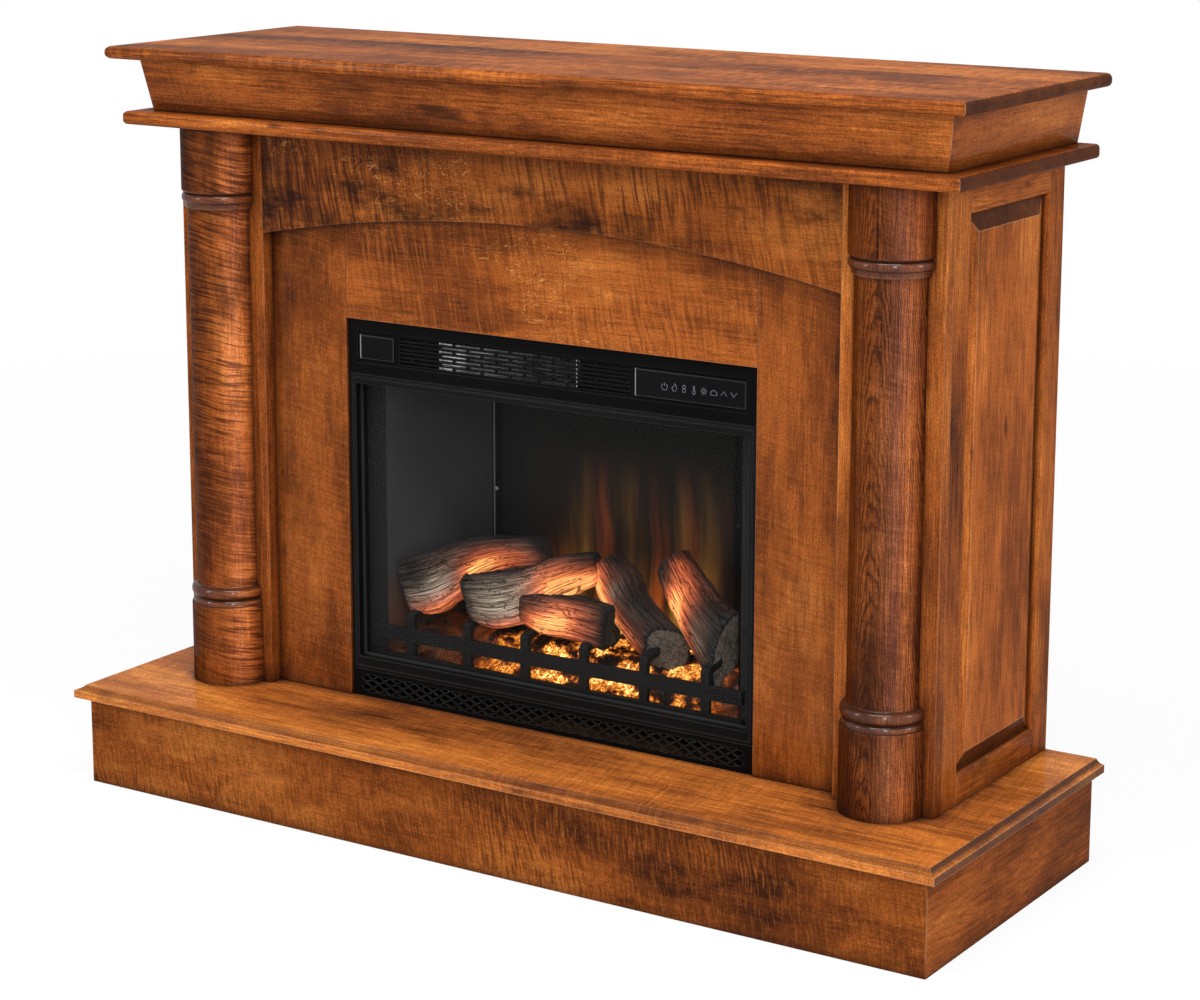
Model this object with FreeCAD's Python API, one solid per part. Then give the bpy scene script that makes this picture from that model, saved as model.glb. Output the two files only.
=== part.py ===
import FreeCAD, Part
import math
import os

# Free-standing electric fireplace: a stained wood mantel on a hearth plinth, holding an electric insert.
# Millimetres, +Z up, the front faces -Y, origin on the floor under the middle of the hearth.

os.makedirs("parts", exist_ok=True)

# Hearth plinth
hearth_width = 1398.0
hearth_depth = 510.0
hearth_thickness = 18.0
hearth_overhang = 17.0
hearth_cove_width = 12.0
hearth_cove_height = 7.0
hearth_cove_sag = 1.8
skirt_height = 130.0
skirt_thickness = 19.0
glue_block_leg = 45.0

# Mantel body
hearth_side_step = 87.0
hearth_front_step = 170.0
body_height = 814.0
face_thickness = 20.0
face_stile_width = 147.0
field_thickness = 19.0
arch_rise = 47.0
arched_rail_crest_width = 102.0
stretcher_height = 100.0
stretcher_thickness = 19.0

# Frame-and-panel sides
side_thickness = 20.0
side_stile_width = 47.0
side_top_rail_width = 45.0
side_bottom_rail_width = 41.0
sticking_radius = 6.0
panel_inset = 5.0
panel_tongue_thickness = 5.0
panel_groove_depth = 8.0
panel_tongue_length = 7.0
panel_groove_clearance = 0.15
panel_bevel_width = 23.0
panel_bevel_height = 8.0
panel_reveal = 1.0
cutter_margin = 2.0

# Split-turned columns
drum_radius = 57.5
shaft_radius = 49.0
base_drum_height = 118.0
upper_drum_height = 91.0
drum_chamfer = 2.5
base_fillet_height = 6.0
base_groove_height = 4.0
base_groove_depth = 6.5
base_bead_height = 16.0
neck_fillet_height = 7.0
neck_fillet_step = 4.0
neck_bead_height = 13.0
neck_groove_height = 3.5
bead_swell = 5.5
bead_facets = 4
bead_fullness = 0.083

# Cornice, crown and top shelf
cornice_thickness = 19.0
cornice_side_overhang = 48.0
cornice_front_overhang = 69.0
cornice_edge_radius = 6.0
crown_height = 75.0
crown_lean = 13.0
crown_setback = 31.0
crown_thickness = 18.0
top_thickness = 18.0
top_side_overhang = 32.0
top_front_overhang = 37.0
top_edge_radius = 8.0

# Insert: outside sizes and its place in the wood opening
insert_width = 664.0
insert_height = 552.0
insert_depth = 228.0
bezel_setback = 4.0
opening_side_gap = 2.0
opening_top_gap = 1.0
front_frame_depth = 18.0
split_gap = 0.5

# Sheet steel casing
sheet = 1.2
casing_flange = 6.0
casing_rear_flange = 12.0
bracket_width = 60.0
bracket_leg = 32.0
bracket_thickness = 1.5
bracket_height = 250.0
back_slot_length = 72.0
back_slot_height = 4.0
back_slot_pitch = 90.0
back_slot_rows = 3
back_slot_row_pitch = 11.0
back_slot_columns = 5
back_slot_margin = 40.0
gland_x = 250.0
gland_height = 42.0
gland_nut_radius = 13.0
gland_nut_sides = 6
gland_nut_thickness = 5.0
gland_bore_radius = 4.0

# Upper bezel with the heater outlet slots
upper_bezel_height = 78.0
bezel_plate = 5.0
bezel_wall = 2.5
band_height = 46.0
band_depth = 2.5
band_margin = 15.0
slot_rows = 7
slot_height = 3.2
slot_row_pitch = 5.8
slot_length = 44.0
slot_pitch = 47.0
slot_field_left = -246.0
slot_field_right = 135.0
window_width = 56.0
window_height = 32.0
window_thickness = 1.5
window_edge_gap = 5.0
control_width = 168.0
control_height = 35.0
control_thickness = 2.0
control_edge_gap = 3.0
panel_edge_chamfer = 0.6
board_thickness = 1.6
board_margin = 8.0
board_post_width = 6.0
board_post_length = 6.0
relay_width = 22.0
relay_height = 18.0
relay_depth = 9.0
transformer_width = 34.0
transformer_height = 28.0

# Glass front and lower grille
glass_frame_side = 10.0
glass_frame_top = 14.0
glass_frame_bottom = 18.0
glass_thickness = 4.0
glass_lap = 6.0
glass_gap = 0.3
glass_frame_groove_width = 1.5
glass_frame_groove_depth = 1.0
glass_frame_groove_inset = 4.5
lower_grille_height = 40.0
grille_plate = 3.0
lattice_border = 6.0
lattice_pitch = 21.4
lattice_rows = 2
lattice_strand = 2.2

# Firebox
firebox_front_depth = 30.0
firebox_rear_depth = 178.0
firebox_front_half_width = 295.0
firebox_rear_half_width = 209.0
rear_flange_width = 13.0
firebox_floor_clearance = 0.8
firebox_ceiling_drop = 2.0
light_window_half_width = 215.0
light_window_front_depth = 60.0
light_window_rear_depth = 150.0
screen_thickness = 3.0
screen_side_gap = 2.0

# Fire grate
grate_half_length = 302.0
grate_depth = 20.0
grate_thickness = 8.0
grate_lower_bar_height = 16.0
grate_lower_bar_gap = 7.0
grate_bar_gap = 20.0
grate_top_bar_height = 19.5
grate_post_count = 6
grate_post_pitch = 98.0
grate_post_width = 13.0
grate_post_rise = 24.0
grate_finger_length = 28.0
grate_finger_thickness = 9.0
grate_finger_lift = 5.0

# Ember bed and logs: each station is X, depth behind the bezel, height above the hearth, radius
ember_front_gap = 4.0
ember_rear_gap = 8.0
ember_front_rise = 22.0
ember_brow_depth = 78.0
ember_brow_rise = 60.0
ember_crest_depth = 120.0
ember_crest_rise = 70.0
ember_wall_gap = 3.0
ember_shell = 4.0
log_sides = 10
log_roughness = 0.07
log_lobes = 3
log_twist = 1.3
log_wall_gap = 3.0
log_grate_gap = 2.0
log_rest_radius = 14.0
log_rest_sides = 6
log_stations = {
    "log_rear_left": [(-285, 64, 144, 35), (-205, 72, 177, 41), (-140, 88, 202, 31), (-72, 106, 226, 19)],
    "log_front_left": [(-178, 62, 154, 32), (-94, 76, 167, 34), (-34, 92, 196, 25), (16, 106, 214, 18)],
    "log_small_front": [(-84, 64, 155, 22), (-14, 58, 149, 29), (70, 56, 144, 31)],
    "log_centre": [(35, 114, 217, 23), (72, 92, 193, 30), (122, 66, 156, 27), (172, 48, 134, 26)],
    "log_right": [(132, 124, 236, 18), (168, 98, 206, 24), (214, 74, 178, 33), (258, 54, 150, 39)],
}
log_rest_places = {"log_rear_left": -108, "log_front_left": -12, "log_centre": 58, "log_right": 156}

# Lights and flame rotor behind the flame screen
ember_board_half_length = 200.0
ember_board_front_depth = 70.0
ember_board_rear_depth = 140.0
ember_board_height = 14.0
light_size = 5.0
light_thickness = 1.5
light_pitch = 84.0
light_rows = 2
light_columns = 5
spacer_width = 8.0
flame_board_half_length = 170.0
flame_board_width = 24.0
flame_board_height = 24.0
flame_light_count = 7
flame_light_pitch = 48.0
rotor_height = 88.0
rotor_shaft_radius = 3.0
rotor_vane_radius = 17.0
rotor_vane_length = 20.0
rotor_vane_thickness = 0.8
rotor_vane_count = 3
rotor_hub_count = 6
rotor_hub_pitch = 56.0
rotor_hub_twist = 25.0
rotor_bracket_half_span = 186.0
rotor_bracket_thickness = 1.5
rotor_bracket_width = 34.0
rotor_bracket_head = 14.0
rotor_bracket_foot = 14.0
rotor_shaft_tail = 6.0
rotor_motor_radius = 19.0
rotor_motor_sides = 8
rotor_motor_length = 16.0
rotor_motor_bore_depth = 10.0
shaft_running_clearance = 0.05
shaft_end_clearance = 0.5

# Fan heater behind the outlet slots
heater_left = -178.0
heater_right = 48.0
heater_mouth_gap = 1.0
duct_floor_gap = 12.0
duct_roof_gap = 8.0
wheel_depth = 106.0
wheel_radius = 20.0
wheel_blade_width = 5.0
wheel_blade_count = 12
wheel_blade_thickness = 0.9
wheel_blade_lean = 30.0
wheel_disc_thickness = 1.5
wheel_disc_sides = 20
wheel_ring_width = 8.0
wheel_blade_inset = 1.2
wheel_end_gap = 3.0
blower_shaft_radius = 3.0
blower_shaft_tail = 4.0
duct_guide_gap = 4.0
duct_end_margin = 4.0
duct_top_reach = 84.0
blower_motor_length = 40.0
blower_motor_width = 36.0
blower_motor_height = 46.0
blower_motor_bore_depth = 24.0
element_front_depth = 14.0
element_rear_depth = 34.0
element_bar_height = 6.0
element_end_gap = 6.0
element_fin_thickness = 0.8
element_fin_pitch = 15.0

# Shared levels and planes
back_y = hearth_depth / 2
hearth_front_y = -hearth_depth / 2
hearth_top = skirt_height + hearth_thickness
body_top = hearth_top + body_height
half_body = hearth_width / 2 - hearth_side_step
face_y = hearth_front_y + hearth_front_step
field_y = face_y + face_thickness
field_back_y = field_y + field_thickness
bezel_y = field_y + bezel_setback
half_insert = insert_width / 2
half_opening = half_insert + opening_side_gap
insert_top = hearth_top + insert_height
opening_top = insert_top + opening_top_gap
casing_front_y = bezel_y + front_frame_depth
casing_rear_y = bezel_y + insert_depth
half_casing = half_insert - casing_flange
casing_top = insert_top - casing_flange
half_inside = half_casing - sheet
lower_split = hearth_top + lower_grille_height
upper_split = insert_top - upper_bezel_height


def vec(x, y, z):
    return FreeCAD.Vector(x, y, z)


def block(x0, x1, y0, y1, z0, z1):
    return Part.makeBox(x1 - x0, y1 - y0, z1 - z0, vec(x0, y0, z0))


def rod_x(radius, x0, x1, y, z):
    return Part.makeCylinder(radius, x1 - x0, vec(x0, y, z), vec(1, 0, 0))


def rod_y(radius, x, y0, y1, z):
    return Part.makeCylinder(radius, y1 - y0, vec(x, y0, z), vec(0, 1, 0))


def outline(segments):
    """A closed wire from two-point lines and three-point arcs."""
    edges = []
    for points in segments:
        if len(points) == 2:
            edges.append(Part.LineSegment(*points).toShape())
        else:
            edges.append(Part.Arc(*points).toShape())
    return Part.Wire(edges)


def polygon(points):
    return Part.makePolygon([*points, points[0]])


def regular(sides, radius, u, v, turn=0.0):
    """Corners of a regular polygon about a point; the turn is a share of one side."""
    corners = []
    for side in range(sides):
        angle = 2 * math.pi * (side + turn) / sides
        corners.append((u + radius * math.cos(angle), v + radius * math.sin(angle)))
    return corners


def plan_prism(points, z0, z1):
    wire = polygon([vec(x, y, z0) for x, y in points])
    return Part.Face(wire).extrude(vec(0, 0, z1 - z0))


def front_prism(points, y0, y1):
    wire = polygon([vec(x, y0, z) for x, z in points])
    return Part.Face(wire).extrude(vec(0, y1 - y0, 0))


def side_prism(points, x0, x1):
    wire = polygon([vec(x0, y, z) for y, z in points])
    return Part.Face(wire).extrude(vec(x1 - x0, 0, 0))


def mirrored(shape):
    return shape.mirror(vec(0, 0, 0), vec(1, 0, 0))


def united(shapes):
    return shapes[0].multiFuse(shapes[1:]).removeSplitter()


def only_solids(shape):
    solids = shape.Solids
    return solids[0] if len(solids) == 1 else Part.makeCompound(solids)


def save(node, shape):
    only_solids(shape).exportStep(f"parts/{node}.step")


def folded_sheet(path, thickness):
    """A plan outline of sheet metal that follows a path, with its thickness laid on the right of travel."""
    shifted = []
    for index, (x, y) in enumerate(path):
        before = path[max(index - 1, 0)]
        after = path[min(index + 1, len(path) - 1)]
        legs = [leg for leg in ((before, (x, y)), ((x, y), after)) if leg[0] != leg[1]]
        normals = []
        for (xa, ya), (xb, yb) in legs:
            length = math.hypot(xb - xa, yb - ya)
            normals.append(((yb - ya) / length, -(xb - xa) / length))
        sum_x = sum(normal[0] for normal in normals)
        sum_y = sum(normal[1] for normal in normals)
        scale = thickness * len(normals) / (sum_x ** 2 + sum_y ** 2)
        shifted.append((x + sum_x * scale, y + sum_y * scale))
    return [*path, *reversed(shifted)]


def rounded_board(half_width, front, bottom, thickness, radius):
    """A shelf board with rounded front and side edges that meet in a mitre, square at the back."""
    top = bottom + thickness
    bend = radius * (1 - math.sqrt(0.5))

    def edge_profile(place, edge, inward):
        near = edge + inward * bend
        far = edge + inward * radius
        return [
            (place(far, bottom), place(near, bottom + bend), place(edge, bottom + radius)),
            (place(edge, bottom + radius), place(edge, top - radius)),
            (place(edge, top - radius), place(near, top - bend), place(far, top)),
        ]

    def in_side_plane(y, z):
        return vec(-half_width, y, z)

    def in_front_plane(x, z):
        return vec(x, front, z)

    side_wire = outline([
        *edge_profile(in_side_plane, front, 1),
        (in_side_plane(front + radius, top), in_side_plane(back_y, top)),
        (in_side_plane(back_y, top), in_side_plane(back_y, bottom)),
        (in_side_plane(back_y, bottom), in_side_plane(front + radius, bottom)),
    ])
    right = [tuple(reversed(points)) for points in reversed(edge_profile(in_front_plane, half_width, -1))]
    front_wire = outline([
        *edge_profile(in_front_plane, -half_width, 1),
        (in_front_plane(-half_width + radius, top), in_front_plane(half_width - radius, top)),
        *right,
        (in_front_plane(half_width - radius, bottom), in_front_plane(-half_width + radius, bottom)),
    ])
    along_x = Part.Face(side_wire).extrude(vec(2 * half_width, 0, 0))
    along_y = Part.Face(front_wire).extrude(vec(0, back_y - front, 0))
    return along_x.common(along_y)


# Hearth board: a cove runs round the front and side edges and meets in mitres
def hearth_board():
    half = hearth_width / 2
    bottom = skirt_height
    top = hearth_top
    cove_bottom = top - hearth_cove_height
    chord = math.hypot(hearth_cove_width, hearth_cove_height)
    sag_in = hearth_cove_sag * hearth_cove_height / chord
    sag_down = hearth_cove_sag * hearth_cove_width / chord
    mid_in = hearth_cove_width / 2 + sag_in
    mid_height = cove_bottom + hearth_cove_height / 2 - sag_down

    def in_side_plane(y, z):
        return vec(-half, y, z)

    def in_front_plane(x, z):
        return vec(x, hearth_front_y, z)

    front = hearth_front_y
    side_wire = outline([
        (in_side_plane(front, bottom), in_side_plane(front, cove_bottom)),
        (
            in_side_plane(front, cove_bottom),
            in_side_plane(front + mid_in, mid_height),
            in_side_plane(front + hearth_cove_width, top),
        ),
        (in_side_plane(front + hearth_cove_width, top), in_side_plane(back_y, top)),
        (in_side_plane(back_y, top), in_side_plane(back_y, bottom)),
        (in_side_plane(back_y, bottom), in_side_plane(front, bottom)),
    ])
    front_wire = outline([
        (in_front_plane(-half, bottom), in_front_plane(-half, cove_bottom)),
        (
            in_front_plane(-half, cove_bottom),
            in_front_plane(-half + mid_in, mid_height),
            in_front_plane(-half + hearth_cove_width, top),
        ),
        (in_front_plane(-half + hearth_cove_width, top), in_front_plane(half - hearth_cove_width, top)),
        (
            in_front_plane(half - hearth_cove_width, top),
            in_front_plane(half - mid_in, mid_height),
            in_front_plane(half, cove_bottom),
        ),
        (in_front_plane(half, cove_bottom), in_front_plane(half, bottom)),
        (in_front_plane(half, bottom), in_front_plane(-half, bottom)),
    ])
    along_x = Part.Face(side_wire).extrude(vec(hearth_width, 0, 0))
    along_y = Part.Face(front_wire).extrude(vec(0, hearth_depth, 0))
    return along_x.common(along_y)


def build_plinth():
    half = hearth_width / 2 - hearth_overhang
    front = hearth_front_y + hearth_overhang
    inner = half - skirt_thickness
    inner_front = front + skirt_thickness
    inner_back = back_y - skirt_thickness
    save("hearth_top", hearth_board())
    front_plan = [(-half, front), (half, front), (inner, inner_front), (-inner, inner_front)]
    save("hearth_front_skirt", plan_prism(front_plan, 0, skirt_height))
    side_plan = [(half, front), (half, back_y), (inner, back_y), (inner, inner_front)]
    right_skirt = plan_prism(side_plan, 0, skirt_height)
    save("hearth_right_skirt", right_skirt)
    save("hearth_left_skirt", mirrored(right_skirt))
    save("hearth_back_rail", block(-inner, inner, inner_back, back_y, 0, skirt_height))
    blocks = []
    for corner_y, leg in ((inner_front, glue_block_leg), (inner_back, -glue_block_leg)):
        plan = [(inner, corner_y), (inner - glue_block_leg, corner_y), (inner, corner_y + leg)]
        corner = plan_prism(plan, 0, skirt_height)
        blocks += [corner, mirrored(corner)]
    save("hearth_glue_blocks", Part.makeCompound(blocks))


# Face of the mantel: stiles and arched rail lie in front of the plain field boards
def arched_rail():
    half = half_body - face_stile_width
    crest = body_top - arched_rail_crest_width
    spring = crest - arch_rise
    wire = outline([
        (vec(-half, face_y, spring), vec(0, face_y, crest), vec(half, face_y, spring)),
        (vec(half, face_y, spring), vec(half, face_y, body_top)),
        (vec(half, face_y, body_top), vec(-half, face_y, body_top)),
        (vec(-half, face_y, body_top), vec(-half, face_y, spring)),
    ])
    return Part.Face(wire).extrude(vec(0, face_thickness, 0))


def build_face():
    stile_inner = half_body - face_stile_width
    stile = block(stile_inner, half_body, face_y, field_y, hearth_top, body_top)
    save("right_face_stile", stile)
    save("left_face_stile", mirrored(stile))
    save("arched_rail", arched_rail())
    leg = block(half_opening, half_body - side_thickness, field_y, field_back_y, hearth_top, body_top)
    save("right_leg_field", leg)
    save("left_leg_field", mirrored(leg))
    save("header_field", block(-half_opening, half_opening, field_y, field_back_y, opening_top, body_top))


# Split-turned half columns, flat back glued to the stiles
def column():
    axis_x = half_body - face_stile_width / 2
    base_top = hearth_top + base_drum_height
    fillet_radius = drum_radius - drum_chamfer
    fillet_top = base_top + base_fillet_height
    groove_radius = drum_radius - base_groove_depth
    bead_bottom = fillet_top + base_groove_height
    bead_top = bead_bottom + base_bead_height
    bead_root = drum_radius - bead_swell
    upper_drum_bottom = body_top - upper_drum_height
    neck_bead_top = upper_drum_bottom - neck_groove_height
    neck_bead_bottom = neck_bead_top - neck_bead_height
    neck_fillet_bottom = neck_bead_bottom - neck_fillet_height
    neck_fillet_radius = shaft_radius + neck_fillet_step

    def at(radius, z):
        return vec(axis_x + radius, face_y, z)

    def bead(root, bottom, top):
        """Short facets along a half wave that swells from the root to the drum radius."""
        points = []
        for step in range(bead_facets + 1):
            share = step / bead_facets
            swell = (drum_radius - root) * math.sin(math.pi * share)
            rise = share - bead_fullness * math.sin(2 * math.pi * share)
            points.append(at(root + swell, bottom + (top - bottom) * rise))
        return list(zip(points, points[1:]))

    wire = outline([
        (at(0, hearth_top), at(drum_radius, hearth_top)),
        (at(drum_radius, hearth_top), at(drum_radius, base_top - drum_chamfer)),
        (at(drum_radius, base_top - drum_chamfer), at(fillet_radius, base_top)),
        (at(fillet_radius, base_top), at(fillet_radius, fillet_top)),
        (at(fillet_radius, fillet_top), at(groove_radius, bead_bottom)),
        (at(groove_radius, bead_bottom), at(bead_root, bead_bottom)),
        *bead(bead_root, bead_bottom, bead_top),
        (at(bead_root, bead_top), at(shaft_radius, bead_top)),
        (at(shaft_radius, bead_top), at(shaft_radius, neck_fillet_bottom)),
        (at(shaft_radius, neck_fillet_bottom), at(neck_fillet_radius, neck_fillet_bottom)),
        (at(neck_fillet_radius, neck_fillet_bottom), at(neck_fillet_radius, neck_bead_bottom)),
        *bead(neck_fillet_radius, neck_bead_bottom, neck_bead_top),
        (at(neck_fillet_radius, neck_bead_top), at(drum_radius, upper_drum_bottom)),
        (at(drum_radius, upper_drum_bottom), at(drum_radius, body_top)),
        (at(drum_radius, body_top), at(0, body_top)),
        (at(0, body_top), at(0, hearth_top)),
    ])
    return Part.Face(wire).revolve(vec(axis_x, face_y, 0), vec(0, 0, -1), 180)


def build_columns():
    right = column()
    save("right_column", right)
    save("left_column", mirrored(right))


# Frame-and-panel sides: the moulded opening edge is cut through all four frame members at once
def sticking_cutter(y0, y1, z0, z1):
    outer = half_body
    inner = half_body - side_thickness - cutter_margin
    above = half_body + cutter_margin
    shoulder = outer - sticking_radius
    bend = sticking_radius * (1 - math.sqrt(0.5))

    def section(place, low, high):
        return outline([
            (place(inner, low), place(shoulder, low)),
            (place(shoulder, low), place(outer - bend, low - bend), place(outer, low - sticking_radius)),
            (place(outer, low - sticking_radius), place(above, low - sticking_radius)),
            (place(above, low - sticking_radius), place(above, high + sticking_radius)),
            (place(above, high + sticking_radius), place(outer, high + sticking_radius)),
            (place(outer, high + sticking_radius), place(outer - bend, high + bend), place(shoulder, high)),
            (place(shoulder, high), place(inner, high)),
            (place(inner, high), place(inner, low)),
        ])

    def in_plan(x, y):
        return vec(x, y, z0 - sticking_radius)

    def in_front(x, z):
        return vec(x, y0 - sticking_radius, z)

    upright = Part.Face(section(in_plan, y0, y1)).extrude(vec(0, 0, z1 - z0 + 2 * sticking_radius))
    level = Part.Face(section(in_front, z0, z1)).extrude(vec(0, y1 - y0 + 2 * sticking_radius, 0))
    return upright.common(level)


def raised_panel(y0, y1, z0, z1):
    back = half_body - side_thickness + panel_inset
    tongue_front = back + panel_tongue_thickness
    field_front = tongue_front + panel_bevel_height
    reach = panel_tongue_length
    tongue = block(back, tongue_front, y0 - reach, y1 + reach, z0 - reach, z1 + reach)

    def rim(x, inset):
        return polygon([
            vec(x, y0 + inset, z0 + inset),
            vec(x, y1 - inset, z0 + inset),
            vec(x, y1 - inset, z1 - inset),
            vec(x, y0 + inset, z1 - inset),
        ])

    bevel_end = panel_reveal + panel_bevel_width
    bevel = Part.makeLoft([rim(tongue_front, panel_reveal), rim(field_front, bevel_end)], True, True)
    return united([tongue, bevel])


def build_sides():
    outer = half_body
    inner = half_body - side_thickness
    y0 = field_y + side_stile_width
    y1 = back_y - side_stile_width
    z0 = hearth_top + side_bottom_rail_width
    z1 = body_top - side_top_rail_width
    cutter = sticking_cutter(y0, y1, z0, z1)
    groove_x0 = inner + panel_inset - panel_groove_clearance
    groove_x1 = inner + panel_inset + panel_tongue_thickness + panel_groove_clearance
    depth = panel_groove_depth
    groove = block(groove_x0, groove_x1, y0 - depth, y1 + depth, z0 - depth, z1 + depth)
    members = {
        "front_stile": [block(inner, outer, field_y, y0, hearth_top, body_top)],
        "rear_stile": [block(inner, outer, y1, back_y, hearth_top, body_top)],
        "rails": [block(inner, outer, y0, y1, hearth_top, z0), block(inner, outer, y0, y1, z1, body_top)],
    }
    for name, blanks in members.items():
        shaped = Part.makeCompound([only_solids(blank.cut(cutter).cut(groove)) for blank in blanks])
        save(f"right_side_{name}", shaped)
        save(f"left_side_{name}", mirrored(shaped))
    panel = raised_panel(y0, y1, z0, z1)
    save("right_side_panel", panel)
    save("left_side_panel", mirrored(panel))
    span = half_body - side_thickness
    stretcher_y = back_y - stretcher_thickness
    save("back_stretcher", block(-span, span, stretcher_y, back_y, body_top - stretcher_height, body_top))


# Cornice shelf, leaning crown boards with mitred corners, and the top shelf
def build_top():
    cornice_half = half_body + cornice_side_overhang
    cornice_front = face_y - cornice_front_overhang
    cornice = rounded_board(cornice_half, cornice_front, body_top, cornice_thickness, cornice_edge_radius)
    save("cornice_shelf", cornice)
    z0 = body_top + cornice_thickness
    z1 = z0 + crown_height
    half = cornice_half - crown_setback
    front = cornice_front + crown_setback
    reach = 2 * crown_thickness
    front_section = [
        (front, z0),
        (front - crown_lean, z1),
        (front - crown_lean + crown_thickness, z1),
        (front + crown_thickness, z0),
    ]
    front_board = side_prism(front_section, -half - reach, half + reach)
    outer_corner = (half + crown_lean, front - crown_lean)
    inner_corner = (half - reach, front + reach)
    front_plan = [
        (-outer_corner[0], outer_corner[1]),
        outer_corner,
        inner_corner,
        (-inner_corner[0], inner_corner[1]),
    ]
    save("crown_front", front_board.common(plan_prism(front_plan, z0, z1)))
    side_section = [
        (half, z0),
        (half + crown_lean, z1),
        (half + crown_lean - crown_thickness, z1),
        (half - crown_thickness, z0),
    ]
    side_board = front_prism(side_section, front - reach, back_y)
    side_plan = [outer_corner, (outer_corner[0], back_y), (inner_corner[0], back_y), inner_corner]
    right = side_board.common(plan_prism(side_plan, z0, z1))
    save("crown_right", right)
    save("crown_left", mirrored(right))
    top_half = half + crown_lean + top_side_overhang
    top_front = front - crown_lean - top_front_overhang
    save("top_shelf", rounded_board(top_half, top_front, z1, top_thickness, top_edge_radius))


# Casing: a folded steel box with a picture-frame flange at the front and a screw flange at the back
def build_casing():
    outer = block(-half_casing, half_casing, casing_front_y, casing_rear_y, hearth_top, casing_top)
    z0 = hearth_top + sheet
    z1 = casing_top - sheet
    inside = block(-half_inside, half_inside, casing_front_y, casing_rear_y, z0, z1)
    flange = block(-half_insert, half_insert, casing_front_y, casing_front_y + sheet, hearth_top, insert_top)
    rim = casing_rear_flange
    rear = block(-half_inside, half_inside, casing_rear_y - sheet, casing_rear_y, z0, z1)
    rear_hole = block(
        -half_inside + rim, half_inside - rim, casing_rear_y - sheet, casing_rear_y, z0 + rim, z1 - rim
    )
    save("insert_casing", united([outer.cut(inside), flange.cut(inside), rear.cut(rear_hole)]))

    panel = block(-half_casing, half_casing, casing_rear_y, casing_rear_y + sheet, hearth_top, casing_top)
    holes = []
    first_x = -(back_slot_columns - 1) / 2 * back_slot_pitch
    for row in range(back_slot_rows):
        z = casing_top - back_slot_margin - row * back_slot_row_pitch
        for column_index in range(back_slot_columns):
            x = first_x + column_index * back_slot_pitch
            half_length = back_slot_length / 2
            holes.append(block(
                x - half_length, x + half_length,
                casing_rear_y, casing_rear_y + sheet,
                z - back_slot_height, z,
            ))
    gland_z = hearth_top + gland_height
    holes.append(rod_y(gland_bore_radius, gland_x, casing_rear_y, casing_rear_y + sheet, gland_z))
    save("casing_back_panel", panel.cut(Part.makeCompound(holes)))

    outside = casing_rear_y + sheet
    nut_corners = regular(gland_nut_sides, gland_nut_radius, gland_x, gland_z)
    nut = front_prism(nut_corners, outside, outside + gland_nut_thickness)
    bore = rod_y(gland_bore_radius, gland_x, outside, outside + gland_nut_thickness, gland_z)
    save("cord_gland", nut.cut(bore))

    z = hearth_top + bracket_height
    t = bracket_thickness
    step_y = casing_front_y + sheet + t
    ear_x = half_opening + t
    ear_y = field_back_y + t
    path = [
        (half_casing + t, step_y + bracket_leg),
        (half_casing + t, step_y),
        (ear_x, step_y),
        (ear_x, ear_y),
        (ear_x + bracket_leg, ear_y),
    ]
    bracket = plan_prism(folded_sheet(path, t), z, z + bracket_width)
    save("mounting_brackets", Part.makeCompound([bracket, mirrored(bracket)]))


# Upper bezel: a shallow band holds the receiver window, the brick-bond outlet slots and the control panel
def slot_cutters(z_middle):
    cutters = []
    plate_rear = bezel_y + bezel_plate
    for row in range(slot_rows):
        z = z_middle + (row - (slot_rows - 1) / 2) * slot_row_pitch
        start = slot_field_left - (slot_pitch / 2 if row % 2 else 0)
        while start < slot_field_right:
            x0 = max(start, slot_field_left)
            x1 = min(start + slot_length, slot_field_right)
            if x1 - x0 > slot_height:
                low = z - slot_height / 2
                cutters.append(block(x0, x1, bezel_y, plate_rear, low, low + slot_height))
            start += slot_pitch
    return cutters


def chamfered_plate(x0, x1, y0, y1, z0, z1):
    """A thin plate whose front edges are bevelled."""
    rim = panel_edge_chamfer

    def rectangle(y, inset):
        return polygon([
            vec(x0 + inset, y, z0 + inset),
            vec(x1 - inset, y, z0 + inset),
            vec(x1 - inset, y, z1 - inset),
            vec(x0 + inset, y, z1 - inset),
        ])

    body = block(x0, x1, y0 + rim, y1, z0, z1)
    face = Part.makeLoft([rectangle(y0, rim), rectangle(y0 + rim, 0)], True, True)
    return united([face, body])


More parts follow.
